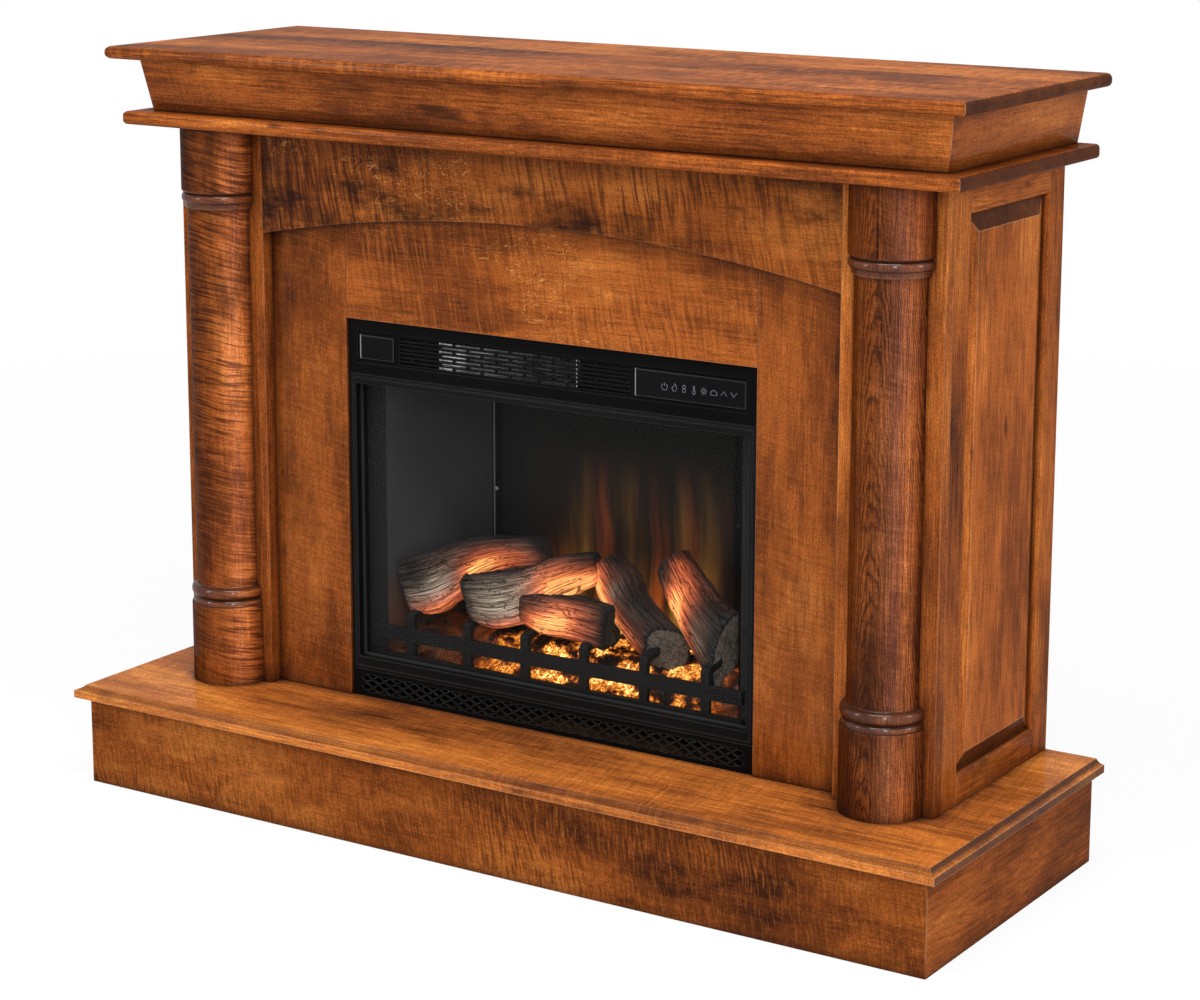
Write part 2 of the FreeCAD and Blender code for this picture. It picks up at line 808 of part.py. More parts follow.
def build_bezel():
    bottom = upper_split + split_gap
    middle = (bottom + insert_top) / 2
    band_left = -half_insert + band_margin
    band_right = half_insert - band_margin
    band_floor = bezel_y + band_depth
    plate_rear = bezel_y + bezel_plate
    body = block(-half_insert, half_insert, bezel_y, casing_front_y, bottom, insert_top)
    hollow = block(
        -half_insert + bezel_wall, half_insert - bezel_wall,
        plate_rear, casing_front_y,
        bottom + bezel_wall, insert_top - bezel_wall,
    )
    band = block(
        band_left, band_right,
        bezel_y, band_floor,
        middle - band_height / 2, middle + band_height / 2,
    )
    shell = body.cut(hollow).cut(band)
    shell = shell.cut(Part.makeCompound(slot_cutters(middle)))

    control_x1 = band_right - control_edge_gap
    control_x0 = control_x1 - control_width
    board_x0 = control_x0 + board_margin
    board_x1 = control_x1 - board_margin
    board_y = plate_rear + board_post_length
    board_z0 = bottom + bezel_wall + board_margin
    board_z1 = insert_top - bezel_wall - board_margin
    posts = []
    for x in (board_x0, board_x1 - board_post_width):
        for z in (board_z0, board_z1 - board_post_width):
            posts.append(block(x, x + board_post_width, plate_rear, board_y, z, z + board_post_width))
    save("upper_bezel", united([only_solids(shell), *posts]))

    window_x0 = band_left + window_edge_gap
    save("receiver_window", chamfered_plate(
        window_x0, window_x0 + window_width,
        band_floor - window_thickness, band_floor,
        middle - window_height / 2, middle + window_height / 2,
    ))
    save("control_panel", chamfered_plate(
        control_x0, control_x1,
        band_floor - control_thickness, band_floor,
        middle - control_height / 2, middle + control_height / 2,
    ))

    board_rear = board_y + board_thickness
    pieces = [block(board_x0, board_x1, board_y, board_rear, board_z0, board_z1)]
    board_middle = (board_x0 + board_x1) / 2
    parts_on_board = [
        (-transformer_width, relay_width, relay_height),
        (0, transformer_width, transformer_height),
        (transformer_width, relay_width, relay_height),
    ]
    for offset, width, height in parts_on_board:
        x = board_middle + offset - width / 2
        z = middle - height / 2
        pieces.append(block(x, x + width, board_rear, board_rear + relay_depth, z, z + height))
    save("control_board", united(pieces))


# Glass front with its slim frame, and the diamond lattice of the lower air intake
def build_glass_front():
    z0 = lower_split + split_gap
    z1 = upper_split
    rear = casing_front_y
    body = block(-half_insert, half_insert, bezel_y, rear, z0, z1)
    open_half = half_insert - glass_frame_side
    open_z0 = z0 + glass_frame_bottom
    open_z1 = z1 - glass_frame_top
    opening = block(-open_half, open_half, bezel_y, rear, open_z0, open_z1)
    lap = glass_lap + glass_gap
    seat = block(
        -open_half - lap, open_half + lap,
        rear - glass_thickness - glass_gap, rear,
        open_z0 - lap, open_z1 + lap,
    )
    inset = glass_frame_groove_inset
    outer_half = half_insert - inset
    inner_half = outer_half - glass_frame_groove_width
    floor_y = bezel_y + glass_frame_groove_depth
    ring = block(-outer_half, outer_half, bezel_y, floor_y, z0 + inset, z1 - inset)
    ring_z0 = z0 + inset + glass_frame_groove_width
    ring_z1 = z1 - inset - glass_frame_groove_width
    ring = ring.cut(block(-inner_half, inner_half, bezel_y, floor_y, ring_z0, ring_z1))
    save("glass_frame", body.cut(opening).cut(seat).cut(ring))
    save("glass_pane", block(
        -open_half - glass_lap, open_half + glass_lap,
        rear - glass_thickness, rear,
        open_z0 - glass_lap, open_z1 + glass_lap,
    ))


def lattice_holes(half_length, z0, z1, y):
    """Diamonds and edge triangles between two crossing sets of strands."""
    half_pitch = lattice_pitch / 2
    half_row = (z1 - z0) / lattice_rows / 2
    diagonal = math.hypot(half_pitch, half_row)
    trim_x = lattice_strand / 2 * diagonal / half_row
    trim_z = lattice_strand / 2 * diagonal / half_pitch
    wires = []
    for level in range(2 * lattice_rows + 1):
        z = z0 + level * half_row
        shift = half_pitch if level % 2 else 0
        columns = int((half_length - half_pitch - shift) // lattice_pitch)
        places = [shift + lattice_pitch * index for index in range(columns + 1)]
        for x in sorted({*places, *[-place for place in places]}):
            left = vec(x - half_pitch + trim_x, y, z)
            right = vec(x + half_pitch - trim_x, y, z)
            low = vec(x, y, z - half_row + trim_z)
            high = vec(x, y, z + half_row - trim_z)
            if level == 0:
                wires.append(polygon([left, right, high]))
            elif level == 2 * lattice_rows:
                wires.append(polygon([left, low, right]))
            else:
                wires.append(polygon([left, low, right, high]))
    return wires


def build_lower_grille():
    z0 = hearth_top
    z1 = lower_split
    body = block(-half_insert, half_insert, bezel_y, casing_front_y, z0, z1)
    plate_rear = bezel_y + grille_plate
    inner_half = half_insert - lattice_border
    low = z0 + lattice_border
    high = z1 - lattice_border
    body = body.cut(block(-inner_half, inner_half, bezel_y, casing_front_y, low, high))
    rim = polygon([
        vec(-inner_half, bezel_y, low),
        vec(inner_half, bezel_y, low),
        vec(inner_half, bezel_y, high),
        vec(-inner_half, bezel_y, high),
    ])
    border = lattice_strand / 2
    holes = lattice_holes(inner_half - border, low + border, high - border, bezel_y)
    net_face = Part.Face([rim, *holes])
    net_face.validate()
    net = net_face.extrude(vec(0, plate_rear - bezel_y, 0))
    save("lower_grille", united([body, net]))


# Firebox: floor, two folded side walls, ceiling and the flame screen
firebox_floor_top = lower_split + firebox_floor_clearance + sheet
firebox_ceiling_z = upper_split - firebox_ceiling_drop
firebox_front_y = bezel_y + firebox_front_depth
firebox_rear_y = bezel_y + firebox_rear_depth
screen_front_y = firebox_rear_y + sheet
screen_rear_y = screen_front_y + screen_thickness


def firebox_wall_x(y):
    """Half width of the firebox between its slanted walls."""
    share = (y - firebox_front_y) / (firebox_rear_y - firebox_front_y)
    return firebox_front_half_width + share * (firebox_rear_half_width - firebox_front_half_width)


def build_firebox():
    front = casing_front_y + sheet
    floor_z = firebox_floor_top - sheet
    floor = block(-half_inside, half_inside, front, screen_rear_y, floor_z, firebox_floor_top)
    window = block(
        -light_window_half_width, light_window_half_width,
        bezel_y + light_window_front_depth, bezel_y + light_window_rear_depth,
        floor_z, firebox_floor_top,
    )
    save("firebox_floor", floor.cut(window))
    path = [
        (half_inside, firebox_front_y),
        (firebox_front_half_width, firebox_front_y),
        (firebox_rear_half_width, firebox_rear_y),
        (firebox_rear_half_width - rear_flange_width, firebox_rear_y),
    ]
    outline_points = folded_sheet(path, sheet)
    wall = plan_prism(outline_points, firebox_floor_top, firebox_ceiling_z)
    wall = wall.common(block(0, half_inside, front, casing_rear_y, firebox_floor_top, firebox_ceiling_z))
    save("firebox_right_wall", wall)
    save("firebox_left_wall", mirrored(wall))
    ceiling_rear = casing_rear_y - sheet
    save("firebox_ceiling", block(
        -half_inside, half_inside, front, ceiling_rear, firebox_ceiling_z, firebox_ceiling_z + sheet
    ))
    screen_half = firebox_rear_half_width - screen_side_gap
    save("flame_screen", block(
        -screen_half, screen_half, screen_front_y, screen_rear_y, firebox_floor_top, firebox_ceiling_z
    ))


# Cast grate: two bars and six posts, each with a finger that reaches back under the logs
def grate_shape():
    y0 = bezel_y + grate_depth
    y1 = y0 + grate_thickness
    floor = firebox_floor_top
    low = floor + grate_lower_bar_gap
    low_top = low + grate_lower_bar_height
    high = low_top + grate_bar_gap
    high_top = high + grate_top_bar_height
    bars = [
        block(-grate_half_length, grate_half_length, y0, y1, low, low_top),
        block(-grate_half_length, grate_half_length, y0, y1, high, high_top),
    ]
    head = high_top + grate_post_rise
    finger_end = y1 + grate_finger_length
    section = [
        (y0, floor),
        (y0, head - grate_finger_thickness / 2),
        (y0 + grate_thickness / 2, head),
        (finger_end, head + grate_finger_lift),
        (finger_end, head + grate_finger_lift - grate_finger_thickness),
        (y1 + grate_thickness / 2, head - grate_finger_thickness),
        (y1, head - 2 * grate_finger_thickness),
        (y1, floor),
    ]
    posts = []
    for index in range(grate_post_count):
        x = (index - (grate_post_count - 1) / 2) * grate_post_pitch
        posts.append(side_prism(section, x - grate_post_width / 2, x + grate_post_width / 2))
    return united([*bars, *posts])


def faceted_solid(rings):
    """A solid with flat facets between rings of equal point counts."""
    faces = [Part.Face(polygon(rings[0])), Part.Face(polygon(rings[-1]))]
    for near, far in zip(rings, rings[1:]):
        for index in range(len(near)):
            after = (index + 1) % len(near)
            faces.append(Part.Face(polygon([near[index], near[after], far[after]])))
            faces.append(Part.Face(polygon([near[index], far[after], far[index]])))
    shell = Part.makeShell(faces)
    shell.sewShape()
    solid = Part.makeSolid(shell)
    if solid.Volume < 0:
        solid.reverse()
    return solid


def log_shape(name, phase):
    """A split log: rough many-sided sections along a bent line."""
    stations = [
        (vec(x, bezel_y + depth, hearth_top + height), radius)
        for x, depth, height, radius in log_stations[name]
    ]
    direction = stations[-1][0] - stations[0][0]
    direction.normalize()
    across = direction.cross(vec(0, 0, 1))
    across.normalize()
    upward = across.cross(direction)
    rings = []
    for place, (centre, radius) in enumerate(stations):
        ring = []
        for side in range(log_sides):
            angle = 2 * math.pi * side / log_sides
            reach = radius * (1 + log_roughness * math.sin(log_lobes * angle + phase + log_twist * place))
            ring.append(centre + across * (reach * math.cos(angle)) + upward * (reach * math.sin(angle)))
        rings.append(ring)
    return faceted_solid(rings)


def log_axis_at(name, x):
    """Depth and height of a log's middle line at a place along its run."""
    for (xa, ya, za, _), (xb, yb, zb, _) in zip(log_stations[name], log_stations[name][1:]):
        if xa <= x <= xb:
            share = (x - xa) / (xb - xa)
            return ya + share * (yb - ya), za + share * (zb - za)


def firebox_space(front, rear, gap, z0, z1):
    """The room between the slanted walls, kept clear of them by a gap."""
    front_half = firebox_wall_x(front) - gap
    rear_half = firebox_wall_x(rear) - gap
    plan = [(-front_half, front), (front_half, front), (rear_half, rear), (-rear_half, rear)]
    return plan_prism(plan, z0, z1)


def ember_bed_shape():
    y0 = bezel_y + grate_depth + grate_thickness + ember_front_gap
    y1 = firebox_rear_y - ember_rear_gap
    floor = firebox_floor_top

    def mound(drop):
        section = [
            (y0 + drop, floor),
            (y0 + drop, floor + ember_front_rise - drop),
            (bezel_y + ember_brow_depth, floor + ember_brow_rise - drop),
            (bezel_y + ember_crest_depth, floor + ember_crest_rise - drop),
            (y1 - drop, floor + ember_crest_rise - drop),
            (y1 - drop, floor),
        ]
        ridge = side_prism(section, -half_inside, half_inside)
        return ridge.common(firebox_space(y0, y1, ember_wall_gap + drop, floor, floor + ember_crest_rise))

    shell = mound(0).cut(mound(ember_shell))
    rests = []
    for name, x in log_rest_places.items():
        depth, height = log_axis_at(name, x)
        corners = regular(log_rest_sides, log_rest_radius, x, bezel_y + depth)
        rests.append(plan_prism(corners, floor + ember_brow_rise - ember_shell, hearth_top + height))
    return united([only_solids(shell), *rests])


def build_fire():
    grate = grate_shape()
    save("grate", grate)
    log_front = bezel_y + grate_depth + grate_thickness + log_grate_gap
    space = firebox_space(log_front, firebox_rear_y, log_wall_gap, firebox_floor_top, firebox_ceiling_z)
    bed = ember_bed_shape()
    placed = []
    for index, name in enumerate(log_stations):
        shape = log_shape(name, index).common(space).cut(grate)
        for other in placed:
            shape = shape.cut(other)
        shape = only_solids(shape)
        placed.append(shape)
        save(name, shape)
        bed = bed.cut(shape)
    save("ember_bed", bed.cut(grate))


# Lights, flame rotor and its drive behind the flame screen
def light_board(x_half, y0, y1, z, lights):
    floor = hearth_top + sheet
    pieces = [block(-x_half, x_half, y0, y1, z, z + board_thickness)]
    for x in (-x_half, x_half - spacer_width):
        for y in (y0, y1 - spacer_width):
            pieces.append(block(x, x + spacer_width, y, y + spacer_width, floor, z))
    top = z + board_thickness
    half = light_size / 2
    for x, y in lights:
        pieces.append(block(x - half, x + half, y - half, y + half, top, top + light_thickness))
    return united(pieces)


def build_lights():
    floor = hearth_top + sheet
    y0 = bezel_y + ember_board_front_depth
    y1 = bezel_y + ember_board_rear_depth
    row_pitch = (y1 - y0) / light_rows
    spots = []
    for row in range(light_rows):
        for index in range(light_columns):
            x = (index - (light_columns - 1) / 2) * light_pitch
            spots.append((x, y0 + (row + 0.5) * row_pitch))
    save("ember_light_board", light_board(ember_board_half_length, y0, y1, floor + ember_board_height, spots))
    middle = (screen_rear_y + casing_rear_y - sheet) / 2
    spots = []
    for index in range(flame_light_count):
        spots.append(((index - (flame_light_count - 1) / 2) * flame_light_pitch, middle))
    y0 = middle - flame_board_width / 2
    y1 = middle + flame_board_width / 2
    save("flame_light_board", light_board(flame_board_half_length, y0, y1, floor + flame_board_height, spots))


def build_rotor():
    y = (screen_rear_y + casing_rear_y - sheet) / 2
    floor = hearth_top + sheet
    z = hearth_top + rotor_height
    plate_x0 = rotor_bracket_half_span
    plate_x1 = plate_x0 + rotor_bracket_thickness
    shaft_left = -plate_x1 - rotor_shaft_tail
    shaft_right = plate_x1 + rotor_motor_bore_depth - shaft_end_clearance
    pieces = [rod_x(rotor_shaft_radius, shaft_left, shaft_right, y, z)]
    for hub in range(rotor_hub_count):
        x = (hub - (rotor_hub_count - 1) / 2) * rotor_hub_pitch
        for vane in range(rotor_vane_count):
            half_length = rotor_vane_length / 2
            half_thickness = rotor_vane_thickness / 2
            blade = block(
                x - half_length, x + half_length,
                y - half_thickness, y + half_thickness,
                z, z + rotor_vane_radius,
            )
            blade.rotate(vec(x, y, z), vec(1, 0, 0), vane * 360 / rotor_vane_count + hub * rotor_hub_twist)
            pieces.append(blade)
    save("flame_rotor", united(pieces))

    hole_radius = rotor_shaft_radius + shaft_running_clearance
    half = rotor_bracket_width / 2
    plate = block(plate_x0, plate_x1, y - half, y + half, floor, z + rotor_bracket_head)
    foot = block(
        plate_x0 - rotor_bracket_foot, plate_x1, y - half, y + half, floor, floor + rotor_bracket_thickness
    )
    bracket = united([plate, foot]).cut(rod_x(hole_radius, plate_x0, plate_x1, y, z))
    save("rotor_brackets", Part.makeCompound([bracket, mirrored(bracket)]))
    corners = regular(rotor_motor_sides, rotor_motor_radius, y, z, 0.5)
    motor = side_prism(corners, plate_x1, plate_x1 + rotor_motor_length)
    save("rotor_motor", motor.cut(rod_x(hole_radius, plate_x1, plate_x1 + rotor_motor_bore_depth, y, z)))


# Fan heater: duct, heating element, cross-flow wheel on stub shafts, and its motor
def build_heater():
    mouth_y = bezel_y + bezel_plate + heater_mouth_gap
    foot_z = firebox_ceiling_z + sheet
    low = foot_z + duct_floor_gap
    high = casing_top - sheet - duct_roof_gap - sheet
    guide = wheel_radius + duct_guide_gap
    axis_y = bezel_y + wheel_depth
    axis_z = low + guide
    bearing = blower_shaft_radius + shaft_running_clearance
    outer_guide = guide + sheet
    diagonal = math.sqrt(0.5)

    guide_wire = outline([
        (vec(heater_left, mouth_y, low), vec(heater_left, axis_y, low)),
        (
            vec(heater_left, axis_y, low),
            vec(heater_left, axis_y + guide * diagonal, axis_z - guide * diagonal),
            vec(heater_left, axis_y + guide, axis_z),
        ),
        (vec(heater_left, axis_y + guide, axis_z), vec(heater_left, axis_y + outer_guide, axis_z)),
        (
            vec(heater_left, axis_y + outer_guide, axis_z),
            vec(heater_left, axis_y + outer_guide * diagonal, axis_z - outer_guide * diagonal),
            vec(heater_left, axis_y, axis_z - outer_guide),
        ),
        (vec(heater_left, axis_y, axis_z - outer_guide), vec(heater_left, mouth_y, low - sheet)),
        (vec(heater_left, mouth_y, low - sheet), vec(heater_left, mouth_y, low)),
    ])
    lower = Part.Face(guide_wire).extrude(vec(heater_right - heater_left, 0, 0))
    roof = block(heater_left, heater_right, mouth_y, bezel_y + duct_top_reach, high, high + sheet)
    end_rear = axis_y + outer_guide + duct_end_margin
    foot_front = casing_front_y + sheet + duct_end_margin
    end_section = [
        (mouth_y, high + sheet),
        (mouth_y, low - sheet),
        (foot_front, low - sheet),
        (foot_front, foot_z),
        (end_rear, foot_z),
        (end_rear, high + sheet),
    ]
    left_end = side_prism(end_section, heater_left - sheet, heater_left)
    right_end = side_prism(end_section, heater_right, heater_right + sheet)
    duct = united([lower, roof, left_end, right_end])
    duct = duct.cut(rod_x(bearing, heater_left - sheet, heater_right + sheet, axis_y, axis_z))
    save("heater_duct", duct)

    wheel_left = heater_left + wheel_end_gap
    wheel_right = heater_right - wheel_end_gap
    shaft_right = heater_right + sheet + blower_motor_bore_depth - shaft_end_clearance
    shaft_left = heater_left - sheet - blower_shaft_tail
    rim = regular(wheel_disc_sides, wheel_radius, axis_y, axis_z)
    hollow = regular(wheel_disc_sides, wheel_radius - wheel_ring_width, axis_y, axis_z)
    ring_x = (wheel_left + wheel_right - wheel_disc_thickness) / 2
    ring_end = ring_x + wheel_disc_thickness
    pieces = [
        rod_x(blower_shaft_radius, shaft_left, wheel_left, axis_y, axis_z),
        rod_x(blower_shaft_radius, wheel_right, shaft_right, axis_y, axis_z),
        side_prism(rim, wheel_left, wheel_left + wheel_disc_thickness),
        side_prism(rim, ring_x, ring_end).cut(side_prism(hollow, ring_x, ring_end)),
        side_prism(rim, wheel_right - wheel_disc_thickness, wheel_right),
    ]
    blade_reach = wheel_radius - wheel_blade_inset
    middle_radius = blade_reach - wheel_blade_width / 2
    half_thickness = wheel_blade_thickness / 2
    for index in range(wheel_blade_count):
        blade = block(
            wheel_left, wheel_right,
            axis_y - half_thickness, axis_y + half_thickness,
            axis_z + blade_reach - wheel_blade_width, axis_z + blade_reach,
        )
        blade.rotate(vec(0, axis_y, axis_z + middle_radius), vec(1, 0, 0), wheel_blade_lean)
        blade.rotate(vec(0, axis_y, axis_z), vec(1, 0, 0), 360 * index / wheel_blade_count)
        pieces.append(blade)
    save("blower_wheel", united(pieces))

    motor_x0 = heater_right + sheet
    motor = block(
        motor_x0, motor_x0 + blower_motor_length,
        axis_y - blower_motor_width / 2, axis_y + blower_motor_width / 2,
        axis_z - blower_motor_height / 2, axis_z + blower_motor_height / 2,
    )
    bore = rod_x(bearing, motor_x0, motor_x0 + blower_motor_bore_depth, axis_y, axis_z)
    save("blower_motor", motor.cut(bore))

    y0 = mouth_y + element_front_depth
    y1 = mouth_y + element_rear_depth
    x0 = heater_left + element_end_gap
    x1 = heater_right - element_end_gap
    pieces = [
        block(x0, x1, y0, y1, low, low + element_bar_height),
        block(x0, x1, y0, y1, high - element_bar_height, high),
    ]
    fin_count = int((x1 - x0 - element_fin_thickness) // element_fin_pitch) + 1
    for index in range(fin_count):
        x = x0 + index * element_fin_pitch
        pieces.append(block(
            x, x + element_fin_thickness, y0, y1, low + element_bar_height, high - element_bar_height
        ))
    save("heater_element", united(pieces))


build_plinth()
build_face()
build_columns()
build_sides()
build_top()
build_casing()
build_bezel()
build_glass_front()
build_lower_grille()
build_firebox()
build_fire()
build_lights()
build_rotor()
build_heater()
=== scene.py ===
import bmesh
import bpy
import math
from mathutils import Matrix, Vector, noise


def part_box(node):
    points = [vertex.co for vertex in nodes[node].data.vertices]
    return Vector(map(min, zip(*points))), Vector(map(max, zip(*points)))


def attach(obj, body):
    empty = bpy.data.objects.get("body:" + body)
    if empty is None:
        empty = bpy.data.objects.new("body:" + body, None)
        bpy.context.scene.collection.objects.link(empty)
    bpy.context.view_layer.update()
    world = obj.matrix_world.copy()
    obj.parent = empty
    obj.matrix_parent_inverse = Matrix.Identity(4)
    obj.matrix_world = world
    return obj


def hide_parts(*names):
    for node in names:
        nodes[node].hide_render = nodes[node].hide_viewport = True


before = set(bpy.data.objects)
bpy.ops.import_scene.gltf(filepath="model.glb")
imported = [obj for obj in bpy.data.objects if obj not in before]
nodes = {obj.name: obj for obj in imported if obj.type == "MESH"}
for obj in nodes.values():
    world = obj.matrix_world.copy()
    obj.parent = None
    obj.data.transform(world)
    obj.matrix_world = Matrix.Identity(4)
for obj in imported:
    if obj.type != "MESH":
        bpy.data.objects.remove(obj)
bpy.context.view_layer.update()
ROOT = "mantel"

# The photograph's camera, in the part's frame
CAMERA_PLACE = Vector((2.2234, -3.3606, 1.4493))
CAMERA_YAW = math.radians(32.886)
CAMERA_PITCH = math.radians(-11.851)
CAMERA_ROLL = math.radians(0.089)
CAMERA_LENS = 89.84
CAMERA_SHIFT_Y = -0.08
SENSOR_WIDTH = 36.0
VIEW_REACH = 50.0

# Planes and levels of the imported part, in metres like every size here
BEZEL_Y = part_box("upper_bezel")[0].y
HEARTH_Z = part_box("hearth_top")[1].z
FLOOR_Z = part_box("firebox_floor")[1].z
GRATE_REAR_Y = BEZEL_Y + 0.028

# Inner faces of the slanted firebox walls, and the sheet of their flanges
WALL_FRONT_Y = BEZEL_Y + 0.030
WALL_REAR_Y = BEZEL_Y + 0.178
WALL_FRONT_X = 0.295
WALL_REAR_X = 0.209
FLANGE_SHEET = 0.0022
WALL_GAP = 0.003


def wall_x(y):
    """Half width of the firebox between its slanted walls."""
    share = (y - WALL_FRONT_Y) / (WALL_REAR_Y - WALL_FRONT_Y)
    return WALL_FRONT_X + share * (WALL_REAR_X - WALL_FRONT_X)


def as_colour(value):
    """A colour as it is, or a grey from its level."""
    return value if isinstance(value, tuple) else (value, value, value)


class Graph:
    """The node tree of a material or of the world, built with short calls."""

    def __init__(self, name, kind="materials", shader="Principled BSDF"):
        self.owner = getattr(bpy.data, kind).new(name)
        self.owner.use_nodes = True
        self.tree = self.owner.node_tree
        self.shader = self.tree.nodes[shader]

    def put(self, socket, value):
        if isinstance(value, bpy.types.NodeSocket):
            self.tree.links.new(value, socket)
        else:
            socket.default_value = value

    def node(self, kind, inputs=(), **settings):
        made = self.tree.nodes.new(f"ShaderNode{kind}")
        for key, value in settings.items():
            setattr(made, key, value)
        for key, value in dict(inputs).items():
            self.put(made.inputs[key], value)
        return made

    def math(self, operation, first, second=0.0):
        return self.node("Math", {0: first, 1: second}, operation=operation).outputs[0]

    def plus(self, first, second):
        return self.math("ADD", first, second)

    def minus(self, first, second):
        return self.math("SUBTRACT", first, second)

    def times(self, first, *others):
        for other in others:
            first = self.math("MULTIPLY", first, other)
        return first

    def blend(self, first, first_share, second, second_share):
        return self.plus(self.times(first, first_share), self.times(second, second_share))

    def off_contour(self, value, count):
        """Distance from the nearest contour line, of which a span of 1 has this many."""
        return self.math("ABSOLUTE", self.minus(self.math("FRACT", self.times(value, count)), 0.5))

    def place(self):
        return self.node("TexCoord").outputs["Object"]

    def true_normal(self):
        return self.node("NewGeometry").outputs["True Normal"]

    def attribute(self, name, output):
        return self.node("Attribute", attribute_name=name).outputs[output]

    def split(self, vector):
        return tuple(self.node("SeparateXYZ", {0: vector}).outputs)

    def join(self, x, y, z):
        return self.node("CombineXYZ", {0: x, 1: y, 2: z}).outputs[0]

    def moved(self, vector, shift):
        return self.node("VectorMath", {0: vector, 1: shift}).outputs[0]

    def scaled(self, vector, scale, shift=(0, 0, 0)):
        return self.node("Mapping", {"Vector": vector, "Location": shift, "Scale": scale}).outputs[0]

    def noise(self, vector, scale=1.0, detail=3.0, roughness=0.5, distortion=0.0):
        inputs = {"Vector": vector, "Scale": scale, "Detail": detail}
        inputs.update({"Roughness": roughness, "Distortion": distortion})
        return self.node("TexNoise", inputs).outputs[0]

    def fibres(self, vector, steps, detail=3.0, roughness=0.5, shift=(0, 0, 0), distortion=0.0):
        """Noise with its own steps per metre along each axis."""
        return self.noise(self.scaled(vector, steps, shift), 1.0, detail, roughness, distortion)

    def ramp(self, factor, stops, smooth=True):
        """Grey levels or colours at places from 0 to 1."""
        made = self.node("ValToRGB", {0: factor})
        made.color_ramp.interpolation = "EASE" if smooth else "LINEAR"
        elements = made.color_ramp.elements
        while len(elements) < len(stops):
            elements.new(0.5)
        for element, (position, colour) in zip(elements, stops):
            element.position = position
            element.color = (*as_colour(colour), 1.0)
        return made.outputs[0]

    def mix(self, factor, first, second, blend="MIX"):
        made = self.node("Mix", data_type="RGBA", blend_type=blend)
        for key, value in ((0, factor), (6, first), (7, second)):
            self.put(made.inputs[key], (*value, 1.0) if isinstance(value, tuple) else value)
        return made.outputs[2]

    def tinted(self, colour, tint):
        return self.mix(1.0, colour, tint, "MULTIPLY")

    def bump(self, height, strength, distance):
        inputs = {"Height": height, "Strength": strength, "Distance": distance}
        return self.node("Bump", inputs).outputs[0]

    def occlusion(self, distance, samples):
        return self.node("AmbientOcclusion", {"Distance": distance}, samples=samples).outputs["AO"]

    def seen_directly(self):
        """1 for rays of the camera, of reflections and through glass, 0 for rays that only light."""
        path = self.node("LightPath").outputs
        seen = self.math("MAXIMUM", path["Is Camera Ray"], path["Is Glossy Ray"])
        return self.math("MAXIMUM", seen, path["Is Transmission Ray"])

    def surface(self, **inputs):
        for key, value in inputs.items():
            self.put(self.shader.inputs[key.replace("_", " ")], value)
        return self.owner


# Stained wood
DARK_STAIN = (0.044, 0.012, 0.005)
DEEP_STAIN = (0.185, 0.046, 0.010)
MID_STAIN = (0.332, 0.086, 0.015)
LIGHT_STAIN = (0.550, 0.172, 0.032)
# Dark glaze, also the colour of the painted shade in corners, creases and on slopes
GLAZE_AND_SHADE = (0.026, 0.008, 0.0045)
PALE_LINE = (0.68, 0.30, 0.09)
ARRIS_SHEEN = (0.52, 0.29, 0.17)
BEAD_BROWN = (0.085, 0.027, 0.012)
STAIN_STOPS = [(0.33, DARK_STAIN), (0.43, DEEP_STAIN), (0.52, MID_STAIN), (0.66, LIGHT_STAIN)]

# Cosines between the flat and the rounded normal at which the painted arris highlight is full and at which it
# is gone
SQUARE_CREASE = (0.80, 0.985)
SHALLOW_CREASE = (0.984, 0.998)
ARRIS_RADIUS = 0.0016
CORNER_REACH = 0.030
CREVICE_REACH = 0.007


class Board:
    """Coordinates of one board: along its grain, across its face and into its depth."""

    def __init__(self, g, grain, seed, stave):
        x, y, z = g.split(g.place())
        self.axis = "XYZ".index(grain)
        self.along, self.wide, self.deep = {"X": (x, y, z), "Y": (y, x, z), "Z": (z, x, y)}[grain]
        self.height = z
        self.seed = seed
        self.tint = 0.5
        straight = g.join(self.along, self.wide, self.deep)
        self.place = g.scaled(straight, (1, 1, 1), (seed * 1.37, seed * 0.73, seed * 0.41))
        if stave:
            lane = g.math("FLOOR", g.math("DIVIDE", self.wide, stave))
            pick = g.node("TexWhiteNoise", {"W": g.plus(lane, seed)}, noise_dimensions="1D")
            self.tint = pick.outputs["Value"]
            self.place = g.moved(self.place, g.join(g.times(self.tint, 3.0), self.tint, self.tint))
        self.cloud = g.fibres(self.place, (2.4, 7, 7), 6.0, 0.66)
        self.streak = g.fibres(self.place, (4, 330, 330), 3.0, 0.6)
        self.pores = g.fibres(self.place, (26, 560, 560), 2.0, 0.6)
        self.grit = g.noise(self.place, 430.0, 1.5)


def stained_body(g, board, lines):
    """Cloudy stain with long streaks, fine pores and an even grit."""
    body = g.blend(board.cloud, 1.0 - lines, board.streak, lines)
    colour = g.ramp(g.plus(body, g.times(g.minus(board.tint, 0.5), 0.14)), STAIN_STOPS)
    colour = g.tinted(colour, g.ramp(board.pores, [(0.34, 0.84 - 0.6 * lines), (0.56, 1.05)]))
    return g.tinted(colour, g.ramp(board.grit, [(0.30, 0.70), (0.70, 1.22)]))


def growth_rings(g, board, colour, amount):
    """Long contour lines along the grain."""
    swell = g.fibres(board.place, (1.0, 10, 10))
    band = g.ramp(g.math("SINE", g.times(swell, 150.0)), [(0.45, 0.0), (0.97, 1.0)])
    return g.mix(g.times(band, amount), colour, DARK_STAIN)


